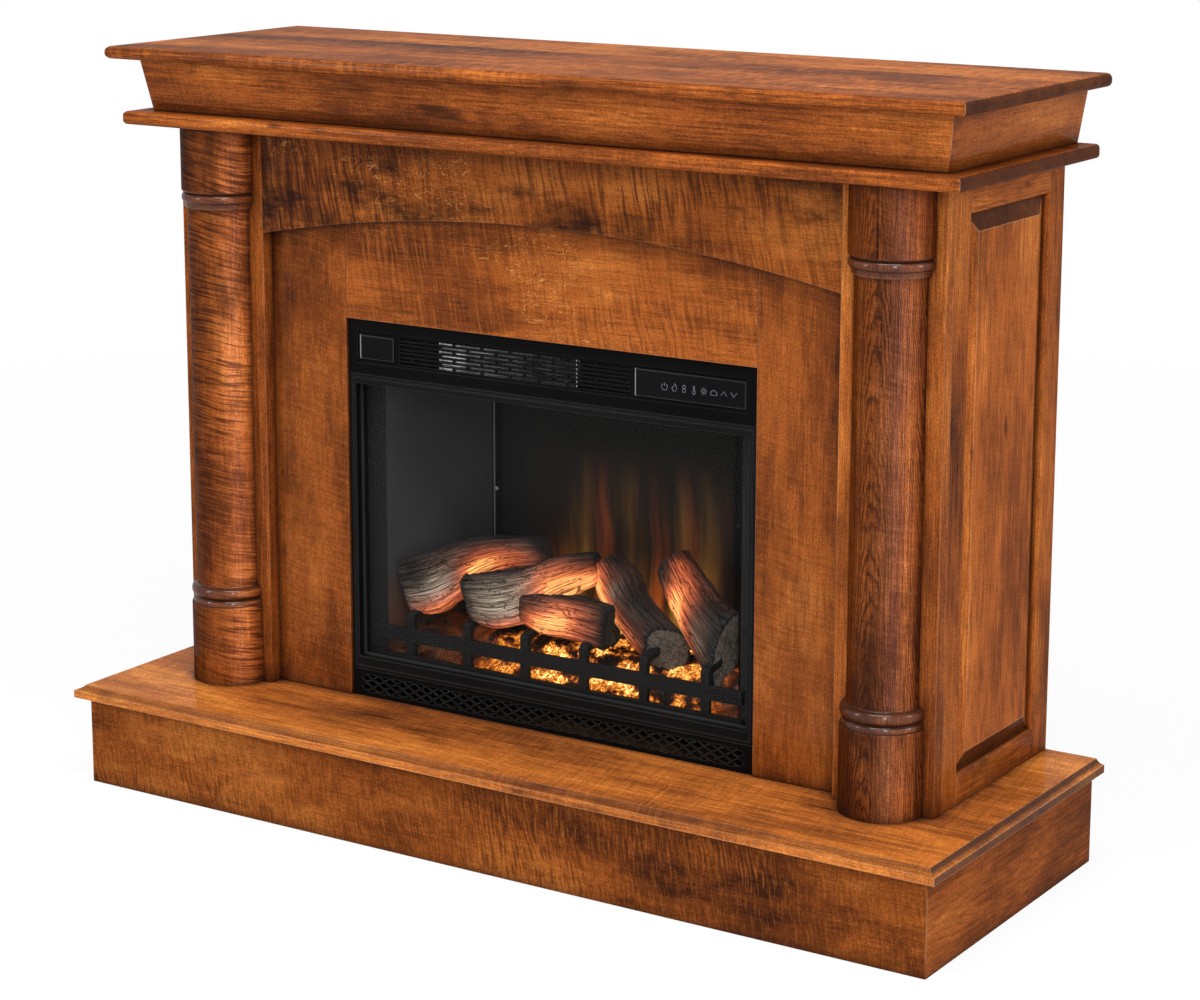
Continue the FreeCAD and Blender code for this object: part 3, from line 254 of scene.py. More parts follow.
def nested_arches(g, board, colour, centre):
    """Steep arches of a turned piece's growth rings."""
    aside = g.minus(board.wide, centre)
    climb = g.plus(board.along, g.times(aside, aside, 260.0))
    climb = g.plus(climb, g.times(board.cloud, 0.40))
    arch = g.math("SINE", g.times(climb, 190.0))
    faint = g.ramp(g.fibres(board.place, (5, 14, 14), 2.0), [(0.36, 0.15), (0.62, 1.0)])
    dark = g.ramp(arch, [(0.2, 0.0), (0.95, 0.75)])
    pale = g.ramp(g.times(arch, -1.0), [(0.86, 0.0), (0.99, 0.22)])
    colour = g.mix(g.times(faint, dark), colour, DARK_STAIN)
    return g.mix(g.times(faint, pale), colour, LIGHT_STAIN)


def curly_figure(g, board, colour, amount, fleck_size):
    """Slanting broken flecks across the grain, strongest in patches."""
    step, tall = fleck_size
    seed = board.seed
    sway = g.times(g.fibres(board.place, (5, 9, 9), 2.0), 0.022)
    lean = g.plus(g.times(g.plus(board.wide, board.deep), 0.16), sway)
    waver = g.join(g.plus(lean, board.along), board.wide, board.deep)
    fleck = g.fibres(waver, (step, tall, tall), 3.0, 0.58, (seed * 2.1, seed, seed))
    patch = g.ramp(g.fibres(board.place, (3.4, 5, 5), 2.0, shift=(3, 1, 2)), [(0.36, 0.35), (0.60, 1.0)])
    broken = g.ramp(board.grit, [(0.32, 0.55), (0.60, 1.0)])
    strength = g.times(patch, broken, amount)
    dark = g.times(strength, g.ramp(fleck, [(0.38, 0.92), (0.51, 0.0)]))
    light = g.times(strength, g.ramp(fleck, [(0.52, 0.0), (0.66, 0.65)]))
    return g.mix(light, g.mix(dark, colour, DARK_STAIN), LIGHT_STAIN), fleck


def pale_squiggles(g, board, colour, amount):
    """Thin wandering pale lines where the figure turns."""
    turn = g.fibres(board.place, (13, 32, 32), 3.0, 0.6, (1, 5, 3), 0.9)
    line = g.ramp(g.off_contour(turn, 8.0), [(0.0, 1.0), (0.055, 0.0)])
    some = g.ramp(g.fibres(board.place, (6, 9, 9), 2.0, shift=(7, 7, 1)), [(0.46, 0.0), (0.58, amount)])
    return g.mix(g.times(line, some), colour, PALE_LINE)


def uneven_glaze(g, board, colour, blotch):
    """Mineral marks and blotches of dark glaze."""
    mark = g.ramp(g.fibres(board.place, (8, 26, 26), 2.0, shift=(9, 4, 7)), [(0.70, 0.0), (0.79, 0.8)])
    stain = g.fibres(board.place, (2.6, 6.5, 6.5), 7.0, 0.70, (4, 8, 2))
    return g.mix(g.ramp(stain, [(0.50, 0.0), (0.66, blotch)]), g.mix(mark, colour, DARK_STAIN), GLAZE_AND_SHADE)


def painted_column_light(g, board, colour, centre, painted_light_tones):
    """Painted light across a turned piece, from left to right as the camera sees it: shade at both edges and
    a pale highlight right of the middle.
    """
    across = g.times(g.minus(board.wide, centre[0]), 7.3)
    inward = g.times(g.minus(board.deep, centre[1]), 4.7)
    wander = g.times(g.minus(board.cloud, 0.5), 0.3)
    spot = g.plus(g.plus(g.plus(across, inward), 0.5), wander)
    return g.tinted(colour, g.ramp(spot, painted_light_tones, smooth=False))


def glaze_and_painted_shade(g, board, colour, open_sky, corner_glaze_and_shade, slant_glaze_and_shade):
    """Glaze and painted shade in corners, creases and on slanting mouldings, and darker end grain, partly
    stain soaked in and partly painted shade.
    """
    # Glaze and painted shade near corners and in creases
    colour = g.mix(g.ramp(open_sky, [(0.30, corner_glaze_and_shade), (0.92, 0.0)]), colour, GLAZE_AND_SHADE)
    crevice = g.ramp(g.occlusion(CREVICE_REACH, 4), [(0.40, 0.85), (0.85, 0.0)])
    colour = g.mix(crevice, colour, GLAZE_AND_SHADE)
    # End grain darker, partly stain soaked in and partly painted shade
    normal = g.split(g.true_normal())
    end_on = g.math("ABSOLUTE", normal[board.axis])
    colour = g.mix(g.ramp(end_on, [(0.35, 0.0), (0.62, 0.80)]), colour, GLAZE_AND_SHADE)
    # Glaze and painted shade on sloping faces
    if slant_glaze_and_shade:
        low, high, weight = slant_glaze_and_shade
        stops = [(low - 0.03, 0.0), (low, weight), (high, weight), (high + 0.03, 0.0)]
        colour = g.mix(g.ramp(g.math("ABSOLUTE", normal[2]), stops, smooth=False), colour, GLAZE_AND_SHADE)
    return colour


def glossy_beads(g, board, colour, coat, bead_zones):
    """Browner wood with a thicker coat between the heights of each zone."""
    for low, high in bead_zones:
        span = {0: board.height, 1: (low + high) / 2, 2: (high - low) / 2}
        zone = g.node("Math", span, operation="COMPARE").outputs[0]
        colour = g.mix(g.times(zone, 0.35), colour, BEAD_BROWN)
        coat = g.plus(g.times(zone, 0.38), coat)
    return colour, coat


def painted_arris_highlight(g, open_sky, crease=SQUARE_CREASE, radius=ARRIS_RADIUS, most=0.75):
    """Weight of a painted highlight that rises where the surface turns an outside arris."""
    soft = g.node("Bevel", {"Radius": radius}, samples=4).outputs[0]
    dot = g.node("VectorMath", {0: soft, 1: g.true_normal()}, operation="DOT_PRODUCT")
    outside = g.ramp(open_sky, [(0.80, 0.0), (0.97, 1.0)])
    full_highlight, no_highlight = crease
    return g.times(g.ramp(dot.outputs["Value"], [(full_highlight, most), (no_highlight, 0.0)]), outside)


def wood(name, grain, seed, curl=0.5, rings=0.2, tone=1.0, stave=0.0, blotch=0.4, squiggle=0.0, coat=0.11,
         corner_glaze_and_shade=0.92, reach=CORNER_REACH, slant_glaze_and_shade=None, crease=SQUARE_CREASE, lines=0.3, fleck_size=(190, 14),
         centre=None, cathedral=False, painted_light_tones=None, bead_zones=(), warmth=1.0):
    """Figured, glazed and lacquered wood whose grain runs along one axis.

    Strengths: curl of the flecks across the grain, rings of the growth lines, blotch of the dark glaze,
    squiggle of the pale lines, lines of the long streaks, and the glaze and painted shade near corners and on
    slanting faces.
    """
    g = Graph(name)
    board = Board(g, grain, seed, stave)
    colour = growth_rings(g, board, stained_body(g, board, lines), rings)
    if cathedral:
        colour = nested_arches(g, board, colour, centre[0])
    colour, fleck = curly_figure(g, board, colour, curl, fleck_size)
    # Painted shade at the edges and a painted highlight right of the middle
    if painted_light_tones:
        colour = painted_column_light(g, board, colour, centre, painted_light_tones)
    if squiggle:
        colour = pale_squiggles(g, board, colour, squiggle)
    colour = uneven_glaze(g, board, colour, blotch)
    open_sky = g.occlusion(reach, 4)
    # Glaze and painted shade in corners, on end grain and on slopes
    colour = glaze_and_painted_shade(g, board, colour, open_sky, corner_glaze_and_shade, slant_glaze_and_shade)
    colour, shine = glossy_beads(g, board, colour, coat, bead_zones)
    # Painted highlight along the outside arrises
    colour = g.mix(painted_arris_highlight(g, open_sky, crease, most=0.74), colour, ARRIS_SHEEN)
    relief = g.blend(board.pores, 0.6, fleck, 0.4)
    return g.surface(
        Base_Color=g.tinted(colour, (tone, tone * warmth, tone * warmth)),
        Roughness=0.5, Specular_IOR_Level=0.0, Coat_Weight=shine,
        Coat_Roughness=g.ramp(board.streak, [(0.3, 0.10), (0.7, 0.20)]),
        Normal=g.bump(relief, 0.12, 0.0006),
    )


def bare_wood(name):
    """Unfinished softwood with growth lines and fine pores."""
    g = Graph(name)
    swell = g.fibres(g.place(), (0.8, 9, 9), 2.0)
    ring = g.ramp(g.math("SINE", g.times(swell, 170.0)), [(0.2, 0.0), (0.95, 0.5)])
    pores = g.fibres(g.place(), (9, 420, 420))
    pale = g.ramp(pores, [(0.3, (0.40, 0.235, 0.105)), (0.7, (0.58, 0.39, 0.195))])
    colour = g.mix(ring, pale, (0.30, 0.15, 0.055))
    relief = g.bump(pores, 0.2, 0.0008)
    return g.surface(Base_Color=colour, Roughness=0.7, Specular_IOR_Level=0.2, Normal=relief)


# Materials of the insert
def paint(name, colour, roughness, texture=900.0, relief=0.12, specular=0.12, metallic=0.0, arris_highlight=None,
          arris_width=0.0009):
    """Coated sheet metal or moulded plastic with a fine even texture and, if given, a painted highlight on
    its arrises.
    """
    g = Graph(name)
    grain = g.noise(g.place(), texture, 2.0)
    cloud = g.noise(g.place(), 9.0, 3.0)
    darker, lighter = (tuple(level * share for level in as_colour(colour)) for share in (0.85, 1.15))
    shade = g.ramp(cloud, [(0.3, darker), (0.7, lighter)])
    # Painted highlight along the outside arrises
    if arris_highlight:
        shade = g.mix(painted_arris_highlight(g, g.occlusion(0.006, 3), radius=arris_width), shade, arris_highlight)
    rough = g.ramp(grain, [(0.3, roughness * 0.85), (0.7, min(1.0, roughness * 1.15))])
    return g.surface(
        Base_Color=shade, Roughness=rough, Metallic=metallic, Specular_IOR_Level=specular,
        Normal=g.bump(grain, relief, 0.0003),
    )


def clear_glass(name):
    """Almost invisible pane with faint smears."""
    g = Graph(name)
    rough = g.ramp(g.noise(g.place(), 6.0, 2.0), [(0.3, 0.02), (0.7, 0.05)])
    return g.surface(Base_Color=(0.02, 0.02, 0.02, 1.0), Roughness=rough, Alpha=0.03, Specular_IOR_Level=0.5)


def flame_screen(name):
    """Smoked screen with soft upright wisps of projected flame."""
    g = Graph(name)
    x, _, z = g.split(g.place())

    def waves(sideways, steps, layer, rise, detail):
        return g.noise(g.join(g.times(sideways, steps), layer, g.times(z, rise)), 1.0, detail)

    drift = g.plus(x, g.times(g.minus(waves(x, 3.0, 0.0, 4.0, 2.0), 0.5), 0.07))
    tongue = waves(drift, 30.0, 0.3, 4.0, 1.0)
    thread = waves(drift, 95.0, 4.0, 5.0, 2.0)
    wisp = g.ramp(g.blend(tongue, 0.65, thread, 0.35), [(0.36, 0.04), (0.68, 1.0)])
    height = g.ramp(g.minus(z, FLOOR_Z), [(0.05, 1.0), (0.12, 0.66), (0.20, 0.25), (0.34, 0.0)])
    side = g.ramp(g.plus(x, 0.5), [(0.34, 0.0), (0.45, 0.85), (0.54, 1.0), (0.62, 0.75), (0.70, 0.10)])
    amber = g.ramp(waves(drift, 22.0, 8.0, 0.0, 1.0), [(0.40, 0.0), (0.58, 1.0)])
    return g.surface(
        Base_Color=(0.009, 0.0085, 0.008, 1.0), Roughness=0.5, Specular_IOR_Level=0.05,
        Emission_Color=g.mix(amber, (1.0, 0.20, 0.028), (1.0, 0.40, 0.050)),
        Emission_Strength=g.times(wisp, height, side, 0.60),
    )


def liner(name):
    """Matt dark liner, blacker on its front and rear flanges, with the embers' glow painted on near the
    floor.
    """
    g = Graph(name)
    grain = g.noise(g.place(), 700.0, 2.0)
    cloud = g.noise(g.place(), 5.0, 3.0)
    shade = g.ramp(cloud, [(0.3, (0.026, 0.026, 0.027)), (0.7, (0.038, 0.039, 0.040))])
    _, y, z = g.split(g.place())
    # Painted glow of the embers on the liner near the floor
    painted_ember_glow = g.ramp(g.minus(z, FLOOR_Z), [(0.0, 0.8), (0.08, 0.6), (0.15, 0.0)])
    shade = g.mix(painted_ember_glow, shade, (0.075, 0.026, 0.010))
    rear = g.math("GREATER_THAN", y, WALL_REAR_Y - FLANGE_SHEET)
    shade = g.mix(rear, shade, (0.004, 0.004, 0.004))
    front = g.math("LESS_THAN", y, WALL_FRONT_Y + FLANGE_SHEET)
    shade = g.mix(front, shade, (0.013, 0.013, 0.013))
    relief = g.bump(grain, 0.1, 0.0003)
    return g.surface(Base_Color=shade, Roughness=0.62, Specular_IOR_Level=0.06, Normal=relief)


def ember_material(name):
    """Molten-looking amber chips lit from below, brightest right of the middle."""
    g = Graph(name)
    place = g.place()
    x, _, _ = g.split(place)
    melt = g.noise(place, 85.0, 4.0, 0.55, 1.2)
    rim = g.ramp(g.off_contour(melt, 5.0), [(0.0, 1.0), (0.15, 0.35), (0.45, 0.0)])
    heat = g.noise(place, 30.0, 4.0, 0.62)
    lit = g.ramp(heat, [(0.42, 0.0), (0.60, 1.0)])
    middle = g.ramp(g.plus(x, 0.5), [
        (0.24, 0.03), (0.34, 0.10), (0.40, 0.60), (0.50, 1.0), (0.62, 1.0), (0.71, 0.65), (0.77, 0.10),
    ])
    fire = g.times(g.plus(g.times(rim, 0.80), 0.20), g.times(lit, middle))
    colour = g.ramp(fire, [
        (0.0, (0.30, 0.035, 0.003)), (0.2, (0.85, 0.19, 0.012)),
        (0.45, (1.0, 0.40, 0.05)), (0.9, (1.0, 0.74, 0.28)),
    ])
    coal = g.ramp(heat, [(0.3, (0.008, 0.006, 0.005)), (0.7, (0.09, 0.030, 0.010))])
    return g.surface(
        Base_Color=coal, Roughness=0.3, Specular_IOR_Level=0.12,
        Emission_Color=colour, Emission_Strength=g.times(fire, 3.2),
        Normal=g.bump(melt, 0.6, 0.006),
    )


def log_material(name):
    """Painted bark: the paint attribute holds glow, ash, char with painted shade, and, as its alpha, the
    cracks.
    """
    g = Graph(name)
    glow, ash, char_and_shade = g.node("SeparateColor", {0: g.attribute("paint", "Color")}).outputs
    run = g.attribute("run", "Vector")
    fibre = g.fibres(run, (6, 12, 12), 6.0, 0.72)
    grain = g.fibres(run, (7, 44, 44), 3.0, 0.6)
    both = g.blend(fibre, 0.55, grain, 0.45)

    # Wide cracks of the mesh and fine splits along the fibres
    split = g.fibres(run, (3.2, 15, 15), 3.0, 0.6, distortion=0.25)
    fine = g.ramp(g.math("ABSOLUTE", g.minus(split, 0.5)), [(0.0, 0.75), (0.032, 0.0)])
    wide = g.ramp(g.attribute("paint", "Alpha"), [(0.25, 0.0), (0.85, 0.95)])
    crack = g.math("MAXIMUM", wide, fine)

    # Bark, white ash, red heat and black cinder, one over the other; the cinder also paints shade on the
    # sides turned from the room
    bark = g.ramp(both, [
        (0.38, (0.010, 0.005, 0.004)), (0.5, (0.080, 0.032, 0.018)), (0.62, (0.22, 0.105, 0.060)),
    ])
    white = g.ramp(both, [
        (0.38, (0.10, 0.075, 0.058)), (0.48, (0.40, 0.32, 0.24)), (0.60, (0.78, 0.67, 0.53)),
    ])
    hot = g.ramp(both, [(0.38, (0.30, 0.030, 0.012)), (0.60, (0.98, 0.30, 0.13))])
    cinder = g.ramp(both, [(0.40, 0.003), (0.62, (0.050, 0.044, 0.042))])
    colour = g.mix(ash, bark, white)
    colour = g.mix(g.times(glow, 0.9), colour, hot)
    colour = g.mix(char_and_shade, colour, cinder)

    # Crackled ash on the cut ends, then the cracks over all
    warped = g.moved(g.scaled(run, (1, 2.2, 3.0)), g.join(fibre, fibre, grain))
    cells = g.node("TexVoronoi", {"Vector": warped, "Scale": 1.0}, feature="DISTANCE_TO_EDGE")
    crackle = g.ramp(cells.outputs["Distance"], [(0.0, (0.30, 0.32, 0.34)), (0.09, (0.80, 0.85, 0.90))])
    colour = g.mix(g.times(g.attribute("cut", "Fac"), ash), colour, g.tinted(white, crackle))
    colour = g.mix(g.times(crack, 0.82), colour, (0.010, 0.006, 0.005))

    fire = g.ramp(g.times(glow, g.plus(both, 0.45)), [
        (0.0, (0.60, 0.04, 0.010)), (0.45, (1.0, 0.14, 0.035)),
        (0.8, (1.0, 0.26, 0.06)), (1.0, (1.0, 0.52, 0.14)),
    ])
    power = g.times(g.math("POWER", glow, 1.8), g.ramp(both, [(0.38, 0.10), (0.6, 1.0)]))
    power = g.times(power, g.minus(1.0, g.times(crack, 0.95)), g.minus(1.0, char_and_shade))
    return g.surface(
        Base_Color=colour, Roughness=0.75, Specular_IOR_Level=0.1,
        Emission_Color=fire, Emission_Strength=g.times(power, 1.55),
        Normal=g.bump(g.minus(both, g.times(crack, 0.6)), 1.0, 0.004),
    )


def guard_metal(name):
    """Bright wire with painted light that falls off towards the right, darker in patches."""
    g = Graph(name)
    x, _, _ = g.split(g.place())
    # Painted light that falls off from the left towards the right
    painted_light_fall = g.ramp(g.plus(x, 0.5), [(0.32, 0.65), (0.345, 1.0), (0.385, 0.36), (0.44, 0.16), (0.55, 0.07)])
    patch = g.ramp(g.fibres(g.place(), (26, 1, 90)), [(0.36, 0.25), (0.62, 1.0)])
    shade = g.tinted(g.tinted((0.62, 0.63, 0.62), painted_light_fall), patch)
    return g.surface(Base_Color=shade, Metallic=1.0, Roughness=0.35)


def icon_material(name):
    """Dim print of the touch symbols, with a faint painted glow."""
    g = Graph(name)
    dim = g.ramp(g.noise(g.place(), 200.0, 1.0), [(0.3, (0.10, 0.11, 0.15)), (0.7, (0.16, 0.17, 0.22))])
    return g.surface(Base_Color=dim, Roughness=0.4, Emission_Color=dim, Emission_Strength=0.25)


# Ways to dress a node and to make a new piece
def dress(names, material):
    for name in names:
        data = nodes[name].data
        data.materials.clear()
        data.materials.append(material)


def smooth_faces():
    """Node group for a modifier that shades all faces smooth and leaves the node's own mesh alone."""
    group = bpy.data.node_groups.new("smooth faces", "GeometryNodeTree")
    for way in ("INPUT", "OUTPUT"):
        group.interface.new_socket("Geometry", in_out=way, socket_type="NodeSocketGeometry")
    kinds = ("NodeGroupInput", "GeometryNodeSetShadeSmooth", "NodeGroupOutput")
    before, shade, after = (group.nodes.new(kind) for kind in kinds)
    group.links.new(before.outputs[0], shade.inputs[0])
    group.links.new(shade.outputs[0], after.inputs[0])
    return group


def soften(names, width):
    """Shades smooth, joins the facets and eases the sharp arrises of a node's surface."""
    group = smooth_faces()
    for name in names:
        piece = nodes[name]
        piece.modifiers.new("smooth faces", "NODES").node_group = group
        weld = piece.modifiers.new("join facets", "WELD")
        weld.merge_threshold = 0.00001
        bevel = piece.modifiers.new("ease arrises", "BEVEL")
        bevel.width = width
        bevel.segments = 2
        bevel.limit_method = "ANGLE"
        bevel.angle_limit = math.radians(35.0)
        crease = piece.modifiers.new("keep creases", "EDGE_SPLIT")
        crease.split_angle = math.radians(10.0)


def fill_between(bm, near, far, closed=True):
    """Quads between two rows of points, all the way round where the rows are closed."""
    count = len(near)
    for index in range(count if closed else count - 1):
        after = (index + 1) % count
        bm.faces.new((near[index], near[after], far[after], far[index]))


def loft(bm, rows):
    """A skin through closed rows of points, capped at both ends."""
    for near, far in zip(rows, rows[1:]):
        fill_between(bm, near, far)
    bm.faces.new(rows[0])
    bm.faces.new(list(reversed(rows[-1])))


def add_object(name, data):
    made = bpy.data.objects.new(name, data)
    bpy.context.scene.collection.objects.link(made)
    return made


def add_mesh(name, bm, material):
    data = bpy.data.meshes.new(name)
    bm.to_mesh(data)
    bm.free()
    data.materials.append(material)
    return add_object(name, data)


def mesh_piece(name, bm, material):
    bmesh.ops.recalc_face_normals(bm, faces=bm.faces)
    piece = add_mesh(name, bm, material)
    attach(piece, ROOT)
    return piece


def smooth_by_angle(piece, angle):
    piece.data.shade_smooth()
    piece.data.set_sharp_from_angle(angle=math.radians(angle))


# Each stained board: the axis of its grain, its seed and its look
# A board's tone is partly its own depth of stain and partly painted light: boards lit more brightly, such as
# the hearth top, are made lighter
BOARDS = {
    "top_shelf": ("X", 1, dict(
        curl=0.38, rings=0.30, stave=0.107, blotch=0.5, tone=1.05, lines=0.42, fleck_size=(95, 24),
    )),
    "crown_front": ("X", 2, dict(curl=0.15, rings=0.25, blotch=0.45, tone=1.14)),
    "crown_left": ("Y", 3, dict(curl=0.15, rings=0.25, tone=1.12)),
    "crown_right": ("Y", 4, dict(curl=0.12, rings=0.12, blotch=0.12, tone=0.94, lines=0.12, coat=0.16)),
    "cornice_shelf": ("X", 5, dict(curl=0.15, rings=0.20, lines=0.35)),
    # The arched rail's long reach spreads painted shade down from under the cornice
    "arched_rail": ("X", 6, dict(
        curl=1.0, rings=0.04, blotch=1.0, squiggle=0.85, tone=0.78, reach=0.075, lines=0.10,
        fleck_size=(230, 16),
    )),
    "left_face_stile": ("Z", 7, dict(curl=0.10, rings=0.10, corner_glaze_and_shade=0.7, tone=0.92)),
    "right_face_stile": ("Z", 8, dict(curl=0.10, rings=0.10, corner_glaze_and_shade=0.7, tone=0.92)),
    "left_leg_field": ("Z", 9, dict(curl=0.30, rings=0.03, squiggle=0.2, tone=0.74, lines=0.10)),
    "right_leg_field": ("Z", 10, dict(curl=0.35, rings=0.03, blotch=0.3, tone=0.78, lines=0.12, coat=0.14)),
    "header_field": ("X", 11, dict(curl=0.60, rings=0.03, blotch=0.3, squiggle=0.65, tone=0.90, lines=0.15)),
    "hearth_top": ("X", 12, dict(
        curl=0.25, rings=0.15, tone=1.45, coat=0.20, slant_glaze_and_shade=(0.10, 0.96, 0.5), warmth=1.12,
    )),
    "hearth_front_skirt": ("X", 13, dict(
        curl=1.0, rings=0.03, blotch=0.45, tone=0.70, lines=0.08, coat=0.06, fleck_size=(290, 30),
    )),
    "hearth_left_skirt": ("Y", 14, dict(curl=0.5, rings=0.15, tone=0.92)),
    "hearth_right_skirt": ("Y", 15, dict(
        curl=0.06, rings=0.22, blotch=0.15, tone=0.84, lines=0.16, coat=0.08,
    )),
}
# The boards of each side, whose seeds are counted from the side's own
SIDE_BOARDS = {
    "side_front_stile": ("Z", 0, dict(curl=0.10, rings=0.10, corner_glaze_and_shade=0.5, tone=0.93)),
    "side_rear_stile": ("Z", 1, dict(curl=0.10, rings=0.10, corner_glaze_and_shade=0.3, tone=0.95)),
    "side_rails": ("Y", 2, dict(curl=0.15, rings=0.25, corner_glaze_and_shade=0.5, tone=0.96)),
    "side_panel": ("Z", 3, dict(
        curl=0.08, rings=0.22, blotch=0.5, slant_glaze_and_shade=(0.12, 0.90, 0.8), crease=SHALLOW_CREASE,
        corner_glaze_and_shade=0.6, tone=1.10,
    )),
}
SIDE_SEEDS = {"left": 20, "right": 30}
BOARD_ARRIS = 0.0011


def dress_wood():
    plans = dict(BOARDS)
    for side, first in SIDE_SEEDS.items():
        for name, (grain, seed, look) in SIDE_BOARDS.items():
            plans[f"{side}_{name}"] = (grain, first + seed, look)
    for name, (grain, seed, look) in plans.items():
        dress([name], wood(f"wood {name}", grain, seed, **look))
    soften(plans, BOARD_ARRIS)
    dress(["hearth_back_rail", "hearth_glue_blocks", "back_stretcher"], bare_wood("bare wood"))


# Split-turned columns with smooth beads, standing where the solids stand
DRUM_RADIUS = 0.0575
SHAFT_RADIUS = 0.049
COLUMN_BASE = 0.118
COLUMN_CAP = 0.091
COLUMN_STEPS = 48
BEAD_STEPS = 16

# Looks of the two columns: curly on the left, plain-sawn on the right. Their tones paint shade at both
# edges and a pale highlight right of the middle.
COLUMN_LOOKS = {
    "left": dict(seed=41, curl=1.0, rings=0.03, tone=0.98, coat=0.1, lines=0.12, fleck_size=(320, 17), painted_light_tones=[
        (0.08, (0.24, 0.22, 0.22)), (0.24, (0.42, 0.38, 0.40)), (0.37, (0.72, 0.68, 0.70)),
        (0.50, (0.88, 0.88, 1.0)), (0.60, (1.30, 1.35, 2.0)), (0.68, (1.45, 1.60, 2.9)),
        (0.78, (1.45, 1.50, 2.0)), (0.88, (0.75, 0.70, 0.75)),
    ]),
    "right": dict(seed=42, curl=0.20, rings=0.15, tone=0.86, coat=0.07, lines=0.40, cathedral=True, painted_light_tones=[
        (0.10, (0.40, 0.34, 0.32)), (0.18, (0.62, 0.58, 0.60)), (0.33, (0.66, 0.72, 1.1)),
        (0.42, (0.88, 1.02, 1.9)), (0.51, (1.05, 1.30, 2.9)), (0.60, (1.32, 1.50, 2.8)),
        (0.68, (1.48, 1.60, 2.3)), (0.76, (0.90, 0.86, 1.2)), (0.84, (0.52, 0.46, 0.55)),
    ]),
}


def bead(root, low, high):
    """Half-round bead from its root radius out to the drum's."""
    points = []
    for step in range(BEAD_STEPS + 1):
        angle = math.pi * step / BEAD_STEPS
        height = (low + high) / 2 - (high - low) / 2 * math.cos(angle)
        points.append((root + (DRUM_RADIUS - root) * math.sin(angle), height))
    return points


def column_profile(bottom, top):
    """Radius and height pairs from the base drum to the upper drum."""
    base, neck = bottom + COLUMN_BASE, top - COLUMN_CAP
    drum, shaft = DRUM_RADIUS, SHAFT_RADIUS
    return [
        (drum, bottom), (drum, base - 0.0060), (drum, base - 0.0030), (0.0571, base - 0.0014),
        (0.0560, base - 0.0003), (0.0548, base), (0.0546, base + 0.0055), (0.0538, base + 0.0064),
        (0.0510, base + 0.0098), *bead(0.0520, base + 0.0100, base + 0.0260), (0.0500, base + 0.0264),
        (shaft, base + 0.0275), (shaft, base + 0.0300), (shaft, neck - 0.0270), (shaft, neck - 0.0245),
        (0.0500, neck - 0.0236), (0.0528, neck - 0.0234), (0.0530, neck - 0.0228), (0.0530, neck - 0.0168),
        *bead(0.0530, neck - 0.0165, neck - 0.0035), (0.0532, neck - 0.0030), (0.0570, neck - 0.0003),
        (drum, neck + 0.0008), (drum, neck + 0.0035), (drum, top),
    ]


def column_piece(side, material):
    node = f"{side}_column"
    low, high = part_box(node)
    middle = (low.x + high.x) / 2
    bm = bmesh.new()
    rows = []
    for radius, z in column_profile(low.z, high.z):
        row = []
        for step in range(COLUMN_STEPS + 1):
            angle = math.pi * step / COLUMN_STEPS
            spot = (middle - radius * math.cos(angle), high.y - radius * math.sin(angle), z)
            row.append(bm.verts.new(spot))
        rows.append(row)
    for lower, upper in zip(rows, rows[1:]):
        fill_between(bm, lower, upper, closed=False)
    bm.faces.new(list(reversed(rows[0])))
    bm.faces.new(rows[-1])
    bm.faces.new([row[0] for row in rows] + [row[-1] for row in reversed(rows)])
    piece = mesh_piece(f"{side}_turned_column", bm, material)
    smooth_by_angle(piece, 50)
    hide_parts(node)


def dress_columns():
    for side, look in COLUMN_LOOKS.items():
        low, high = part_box(f"{side}_column")
        base, neck = low.z + COLUMN_BASE, high.z - COLUMN_CAP
        zones = ((base - 0.0005, base + 0.0270), (neck - 0.0245, neck + 0.0005))
        centre = ((low.x + high.x) / 2, high.y)
        material = wood(f"wood {side} column", "Z", blotch=0.7, centre=centre, bead_zones=zones, **look)
        column_piece(side, material)
